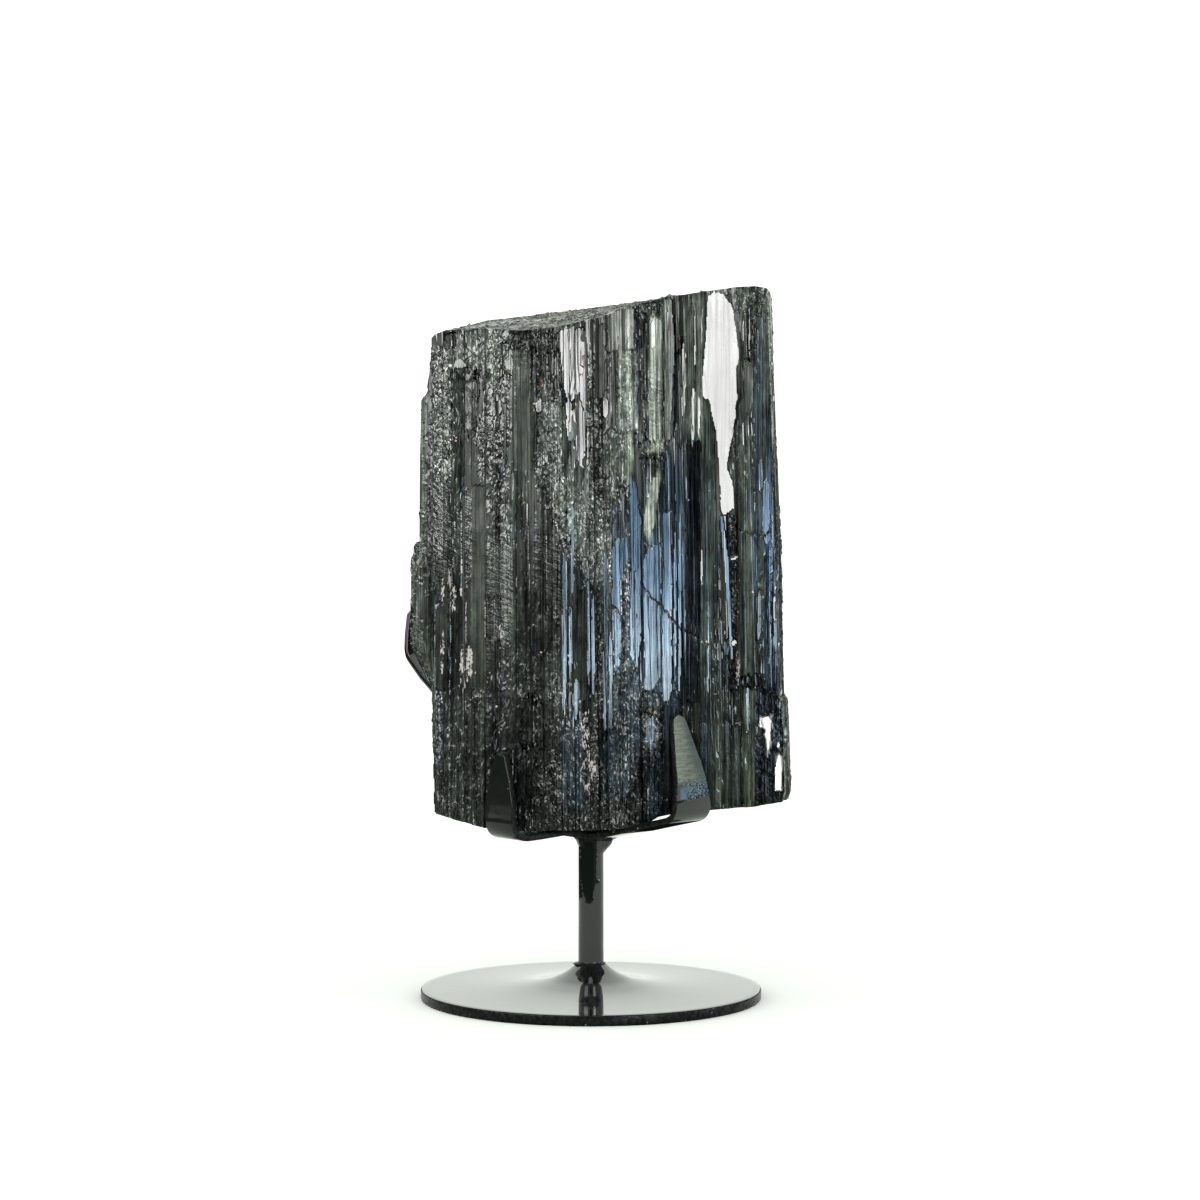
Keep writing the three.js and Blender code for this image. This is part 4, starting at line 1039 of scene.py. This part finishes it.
DISC_RADIUS, DISC_THICKNESS, BOSS_HEIGHT = 50.8, 3.1, 10.15
ROD_RADIUS, ROD_FOOT, STEM_TOP = 3.78, 8.7, 48.3
STRAP_THICKNESS = 1.9
STRAP_LEVEL = STEM_TOP + STRAP_THICKNESS / 2
UPPER_LEVEL = STRAP_LEVEL + STRAP_THICKNESS
LOWER_ANGLE, UPPER_ANGLE = math.radians(-49), math.radians(-139)
LOWER_TIPS, UPPER_TIPS = (86.5, 113.6), (75.3, 103)
SHADED_EDGE, SANDED = 1, 2
DISC_SIDES, ROD_SIDES, BEND_POINTS = 220, 128, 14
FILLET_STARTS = (43.2, 45.4, 47.2)
# Where the other lacquers of the stand begin and end, in metres: the dull lacquer's painted shade on level
# stretches, undersides and the disc rim, and the sanded face.
LEVEL_BELOW, UNDERSIDE_FROM, UNDERSIDE_TO = 0.062, 0.0135, 0.0415
SANDED_ABOVE, RIM_FROM = 0.060, 0.049

# Middle lines of the straps: reach, height and the radius of the bend there.
LOWER_LINE = [(37.8, LOWER_TIPS[0], 0), (43.7, 68.0, 14), (44.9, 57.6, 5.6), (8, STRAP_LEVEL, 8),
              (-9.5, STRAP_LEVEL, 11), (-74.6, 92.6, 10), (-82.5, 99.2, 7), (-83.8, LOWER_TIPS[1], 0)]
UPPER_LINE = [(34.2, UPPER_TIPS[0], 0), (35.1, 50.15, 6.2), (22.5, 50.6, 16), (8.5, UPPER_LEVEL, 10),
              (-8.5, UPPER_LEVEL, 8), (-57.0, 75.2, 6), (-57.6, UPPER_TIPS[1], 0)]
# The disc's profile from its lower rim up over the boss: radius, height.
DISC_PROFILE = [(50.1, 0), (50.55, 0.12), (50.75, 0.4), (DISC_RADIUS, 0.8), (DISC_RADIUS, 2.65),
                (50.74, 2.9), (50.6, 3.04), (50.4, DISC_THICKNESS), (48.5, DISC_THICKNESS), (45, 3.125),
                (40, 3.21), (36.5, 3.29), (33, 3.4), (28, 3.61), (24, 3.86), (20, 4.23), (17, 4.63),
                (14.5, 5.08), (12, 5.68), (10, 6.32), (8.6, 6.95), (7.4, 7.75), (6.2, 8.7), (5.2, 9.65),
                (4.7, 10.0), (4.3, BOSS_HEIGHT)]
# A run of paint down the rod: height, left and right edge in degrees from straight in front.
RUN = [(28.5, -22, 4), (29.0, -28, 9), (29.8, -32, 12), (32.3, -44, 15), (34.3, -50, 22), (34.8, -52, 50),
       (35.3, -54, 48), (35.8, -56, 30), (38, -58, 27), (43, -60, 31), (STEM_TOP, -62, 33)]


def round_corners(line):
    """Points of a bent line, with a curve of about the given radius at each corner."""
    points = np.array(line)[:, :2]
    out = [points[0]]
    for before, corner, after, (_, _, radius) in zip(points, points[1:], points[2:], line[1:]):
        back, ahead = before - corner, after - corner
        back, ahead = back / np.hypot(*back), ahead / np.hypot(*ahead)
        half = math.acos(max(-1, min(1, back @ ahead))) / 2
        reach = radius / math.tan(half)
        start, end = corner + back * reach, corner + ahead * reach
        for t in np.linspace(0, 1, BEND_POINTS):
            out.append(start * (1 - t) ** 2 + corner * 2 * t * (1 - t) + end * t * t)
    return np.array(out + [points[-1]])


def resample(line, spacing):
    """Evenly spaced points, closer together toward both ends."""
    at = np.concatenate([[0], np.cumsum(np.hypot(*np.diff(line, axis=0).T))])
    count = int(at[-1] / spacing)
    ends = np.array([0.06, 0.15, 0.3, 0.5, 0.8, 1.2, 1.7])
    t = np.concatenate([[0], ends, np.linspace(2.3, at[-1] - 2.3, count), at[-1] - ends[::-1], [at[-1]]])
    return np.stack([np.interp(t, at, line[:, 0]), np.interp(t, at, line[:, 1])], axis=1)


def strap_section(width, thickness, radius):
    """Rectangle with rounded corners, as places across and through the strap."""
    section = []
    for turn, (right, up) in enumerate(((1, 1), (-1, 1), (-1, -1), (1, -1))):
        for k in range(5):
            a = math.radians(90 * turn + 22.5 * k)
            section.append((right * (width - radius) + radius * math.cos(a),
                            up * (thickness - radius) + radius * math.sin(a)))
    return section


def strap(name, line, angle, width_at, seed, material):
    """Flat bar bent along a line in the upright plane at an angle, with slightly uneven hand-cut edges."""
    line = resample(round_corners(line), 0.7)
    run = np.gradient(line, axis=0)
    for _ in range(2):
        run[1:-1] = (run[:-2] + 2 * run[1:-1] + run[2:]) / 4
    run /= np.hypot(run[:, 0], run[:, 1])[:, None]
    out = np.array([math.cos(angle), math.sin(angle), 0])
    side = np.array([-out[1], out[0], 0])
    step = np.arange(len(line)) * 0.09
    uneven = 0.05 * value_noise(step, step * 0 + 0.5, seed)
    rings = []
    for (r, z), (along, rise), wobble in zip(line, run, uneven):
        half = width_at(r, z) / 2 - 0.06 + wobble
        section = strap_section(half, STRAP_THICKNESS / 2 - 0.03, min(0.3, half * 0.6))
        rings.append([out * (r - rise * t) + side * w + np.array([0, 0, z + along * t]) for w, t in section])
    rings = np.array(rings)
    mesh = mesh_from_rings(name, rings, rings[0].mean(0), rings[-1].mean(0))
    return stand_piece(name, mesh, material)


def tip_width(drop, taper, tip, full):
    """Width of a prong at a depth below its rounded tip."""
    rows = [(0, 0.3), (0.08, 1.0), (0.3, tip * 0.45), (0.8, tip * 0.72), (1.6, tip * 0.93), (2.4, tip),
            (taper * 0.5, tip + (full - tip) * 0.52), (taper, full)]
    return float(table(rows, drop))


def lower_width(r, h):
    if r > 36.0 and h > 58:
        return tip_width(LOWER_TIPS[0] - h, 26, 5.6, 13.8)
    if r < -78 and h > 97:
        return tip_width(LOWER_TIPS[1] - h, 15, 8.6, 12.6)
    return float(np.interp(r, [30, 40], [12.6, 13.8]))


def upper_width(r, h):
    if r > 30 and h > 52:
        return tip_width(UPPER_TIPS[0] - h, 15, 5.4, 12.6)
    if r < -50 and h > 80:
        return tip_width(UPPER_TIPS[1] - h, 22, 5.0, 10.8)
    return float(np.interp(r, [14, 24], [10.8, 12.6]))


def turned(name, radius, z, a, low, high):
    """Closed mesh of a turned shape: radius is rows x angles, low and high are the heights of its ends."""
    rings = np.stack([radius * np.cos(a), radius * np.sin(a), np.tile(z[:, None], (1, len(a)))], axis=-1)
    return mesh_from_rings(name, rings, (0, 0, low), (0, 0, high))


def lathe_disc():
    """Thin round foot, drawn up to a boss, with a nicked rim."""
    fine = [DISC_PROFILE[0]]
    for (r0, z0), (r1, z1) in zip(DISC_PROFILE[:-1], DISC_PROFILE[1:]):
        n = max(1, int(abs(r1 - r0)))
        fine += [(r0 + (r1 - r0) * (k + 1) / n, z0 + (z1 - z0) * (k + 1) / n) for k in range(n)]
    r, z = np.array(fine).T
    free = (z > 3.0) & (r < 48) & (r > 4.8)
    for _ in range(6):
        soft = z.copy()
        soft[1:-1] = (z[:-2] + 2 * z[1:-1] + z[2:]) / 4
        z = np.where(free, soft, z)
    a = np.arange(DISC_SIDES) * 2 * math.pi / DISC_SIDES
    nick = value_noise(a * 9, a * 0 + 0.3, 611) + 0.7 * value_noise(a * 31, a * 0 + 0.7, 612)
    dent = 0.16 * np.clip(nick - 0.75, 0, 1) + 0.015 * value_noise(a * 60, a * 0, 613)
    radius = r[:, None] - smooth(50.1, 50.7, r)[:, None] * np.abs(dent)[None, :]
    return turned("base_disc", radius, z, a, 0, BOSS_HEIGHT)


def from_front(a):
    """Degrees around the rod from straight in front."""
    return np.degrees(np.mod(a + 1.5 * math.pi, 2 * math.pi) - math.pi)


def paint_run(z, a):
    """1 inside the run of paint, 0 outside, with ragged sides."""
    rag = 5 * value_noise(z * 1.1 + a * 0, a * 0 + 0.5, 624)
    rag += 3 * value_noise(z * 3.1 + a * 0, a * 0 + 0.5, 625)
    left, right = table(RUN, z), table(RUN, z, column=2)
    turn = from_front(a)
    inner = np.clip((turn - left - rag) / 7, 0, 1) * np.clip((right + rag - turn) / 7, 0, 1)
    return inner * np.clip((z - 28.3) / 0.5, 0, 1)


def rod():
    """Round rod with a lumpy weld at its foot, a run of paint, and weld fillets under the cradle."""
    zones = ((ROD_FOOT, 12, 26), (12.2, 43, 104), (43.2, STEM_TOP, 34))
    heights = np.concatenate([np.linspace(*zone) for zone in zones])
    a = np.arange(ROD_SIDES) * 2 * math.pi / ROD_SIDES
    z = heights[:, None]
    foot = np.interp(z, [9.8, 10.05, 10.35, 10.5, 10.7], [0.4, 0.7, 0.7, 0.25, 0])
    head, left_head, collar = (np.interp(z, [start, STEM_TOP], [0, 1]) for start in FILLET_STARTS)
    lumps = value_noise(a * 3.2 + 5, z * 0.55, 621) + 0.6 * value_noise(a * 8 + 3, z * 1.3, 622)
    bead = 1 + 1.2 * np.clip(np.cos(a - math.radians(190)), 0, 1) ** 3
    reach = foot * bead * (1 + 0.15 * lumps) + collar * (0.5 + 0.2 * lumps)
    reach = reach + head * (4.2 + 0.5 * lumps) * np.clip(np.cos(a - 0.15), 0, 1) ** 3
    reach = reach + left_head * (1.3 + 0.3 * lumps) * np.clip(-np.cos(a), 0, 1) ** 3
    run = paint_run(z, a)
    radius = ROD_RADIUS + reach + 0.07 * smooth(0, 1, run) + 0.02 * value_noise(a * 2 + 1, z * 0.25, 623)
    mesh = turned("stem", radius, heights, a, ROD_FOOT, STEM_TOP)
    pits = (value_noise(a * 26, z * 2.6, 626) > 0.62) & (np.abs(from_front(a) + 8) < 17) & (z > 14) & (z < 27)
    store(mesh, "run", np.append(np.maximum(run, 0.55 * pits).ravel(), [0, 0]))
    return mesh


def paint_faces(obj, material, index, chosen):
    """Give the chosen faces of a piece another material; chosen reads a face's normal and centre."""
    obj.data.materials.append(material)
    for face in obj.data.polygons:
        if chosen(face.normal, face.center):
            face.material_index = index


def on_shaded_edge(angle, sideways):
    """Test for the faces of the front half of a strap that get painted shade: cut edges, undersides and level
    stretches.
    """
    cos, sin = math.cos(angle), math.sin(angle)

    def chosen(normal, centre):
        across = abs(normal.x * -sin + normal.y * cos)
        reach = centre.x * cos + centre.y * sin
        underside = normal.z < -0.6 and centre.x > UNDERSIDE_FROM and reach < UNDERSIDE_TO
        level = (normal.z > 0.6 or underside) and centre.z < LEVEL_BELOW
        return centre.y < 0 and (across > sideways or level)

    return chosen


def on_sanded_face(normal, centre):
    facing = (math.cos(LOWER_ANGLE), math.sin(LOWER_ANGLE), 0.15)
    return centre.z > SANDED_ABOVE and centre.y < 0 and normal.dot(facing) > 0.93


# The disc rim's side faces take the dull lacquer as painted shade.
def on_shaded_rim(normal, centre):
    return normal.z < 0.75 and math.hypot(centre.x, centre.y) > RIM_FROM


gloss = lacquer_material("stand_lacquer", 1.0, foot=0.0064)
disc_gloss = lacquer_material("stand_disc_lacquer", 0.12, 1.85)
quiet_gloss = lacquer_material("stand_bar_lacquer", 1.0, 1.28, 0.08)
edge = shaded_edge_material()
disc = stand_piece("base_disc", lathe_disc(), disc_gloss)
stand_piece("stem", rod(), gloss)
lower = strap("cradle_bar_lower", LOWER_LINE, LOWER_ANGLE, lower_width, 631, gloss)
upper = strap("cradle_bar_upper", UPPER_LINE, UPPER_ANGLE, upper_width, 632, quiet_gloss)
paint_faces(lower, edge, SHADED_EDGE, on_shaded_edge(LOWER_ANGLE, 0.3))
paint_faces(upper, edge, SHADED_EDGE, on_shaded_edge(UPPER_ANGLE, 0.93))
paint_faces(lower, sanded_material(), SANDED, on_sanded_face)
paint_faces(disc, edge, SHADED_EDGE, on_shaded_rim)


# ---------------------------------------------------------------- floor, lights and camera, in metres

FLOOR, ONE_FACE = 6, [(0, 1, 2, 3)]
BLUE_TOP = 0.165
CARD_LIFT = 0.0008
LENS, SENSOR, TILT = 96, 36, 2.34
CAMERA_PLACE = (2.69 * MM, -950.5 * MM, 157.6 * MM)
BLUE_STOPS = [(0.0, (0.70, 0.84, 0.92)), (0.25, (0.50, 0.66, 0.80)), (0.55, (0.22, 0.36, 0.54)),
              (0.9, (0.12, 0.20, 0.31))]


def lamp(name, colour, strength):
    """Material that only glows."""
    return Nodes(name).glow((*colour, 1), strength)


def blue_lamp():
    """Deeper blue toward the top of the panel, paler toward its foot."""
    n = Nodes("blue_panel")
    ramp = n.add("ValToRGB", Fac=n.times(n.split(n.place())["Z"], 1 / BLUE_TOP))
    stops = ramp.color_ramp.elements
    ramp.color_ramp.interpolation = "EASE"
    for height, _ in BLUE_STOPS[1:-1]:
        stops.new(height)
    for stop, (height, colour) in zip(stops, BLUE_STOPS):
        stop.position = height
        stop.color = (*colour, 1)
    return n.glow(ramp.outputs["Color"], 17.0)


def flat_sheet(name, verts, faces, material):
    mesh = bpy.data.meshes.new(name)
    mesh.from_pydata(verts, [], faces)
    mesh.materials.append(material)
    return add_object(name, mesh)


def panel(name, verts, faces, material):
    """A lamp panel or card that only shows in reflections."""
    obj = flat_sheet(name, verts, faces, material)
    obj.visible_camera = False
    obj.visible_diffuse = False
    obj.visible_shadow = False
    obj.visible_transmission = False


def around(name, radii, angles, heights, material):
    """Curved panel between two edges around the part; 0 degrees is in front, positive to the right."""
    start, end = angles
    steps = max(2, int(abs(end - start) / 3))
    verts = []
    for k in range(steps + 1):
        a = math.radians(start + (end - start) * k / steps)
        verts += [(radius * math.sin(a), -radius * math.cos(a), z) for radius, z in zip(radii, heights)]
    panel(name, verts, [(2 * k, 2 * k + 1, 2 * k + 3, 2 * k + 2) for k in range(steps)], material)


pale = Nodes("floor_pale")
pale.shade(Base_Color=(0.87, 0.87, 0.87, 1), Roughness=0.9, Specular_IOR_Level=0.0)
corners = [(-FLOOR, -FLOOR, 0), (FLOOR, -FLOOR, 0), (FLOOR, FLOOR, 0), (-FLOOR, FLOOR, 0)]
flat_sheet("floor", corners, ONE_FACE, pale.material)

world = bpy.data.worlds.new("studio")
scene.world = world
world.use_nodes = True
sky = world.node_tree.nodes["Background"].inputs
sky["Color"].default_value = (0.945, 1.0, 0.93, 1)
sky["Strength"].default_value = 1.45

dark = lamp("dark_card", (0.95, 1.0, 0.95), 0.03)
dim = lamp("dim_card", (0.95, 1.0, 0.93), 0.38)
stem_card = lamp("stem_card", (0.95, 1.0, 0.95), 0.06)
grey = lamp("grey_panel", (0.97, 1.0, 0.96), 8.5)
top = lamp("top_panel", (0.97, 1.0, 0.97), 7.0)
white = lamp("white_panel", (1.0, 1.0, 0.98), 12.0)
blue = blue_lamp()
between = [(-0.03, -0.3, 0.0), (0.062, -0.3, 0.0), (0.062, -0.3, 0.2), (-0.03, -0.3, 0.2)]
around("card_camera", (1.15, 1.15), (-11, 3.5), (-0.2, 0.9), dark)
around("flag_left", (1.0, 1.0), (-168, -82), (-0.02, 0.19), dark)
around("flag_right", (1.0, 1.0), (105, 168), (-0.02, 0.19), dark)
around("card_floor", (0.42, 1.14), (-70, 25), (CARD_LIFT, CARD_LIFT), dim)
around("card_stem", (0.21, 0.42), (-150, 25), (CARD_LIFT, CARD_LIFT), stem_card)
panel("card_between", between, ONE_FACE, dark)
around("card_low", (1.14, 1.14), (-70, -11), (0.001, 0.06), dim)
around("panel_left", (1.0, 1.0), (-66, -30), (0.20, 0.75), grey)
around("panel_top", (0.35, 0.75), (-50, 25), (1.0, 0.85), top)
around("panel_blue", (0.95, 0.95), (4, 22), (0.01, BLUE_TOP), blue)
around("panel_blue_side", (0.95, 0.95), (72, 92), (0.03, BLUE_TOP), blue)
around("soft_box", (0.96, 0.96), (24, 43), (0.01, 0.7), white)

camera_data = bpy.data.cameras.new("camera")
camera_data.lens = LENS
camera_data.sensor_width = SENSOR
camera_data.clip_start = 0.01
camera = add_object("camera", camera_data)
camera.location = CAMERA_PLACE
camera.rotation_euler = (math.radians(90 - TILT), 0, 0)
scene.camera = camera

scene.view_settings.view_transform = "Standard"
scene.view_settings.look = "None"
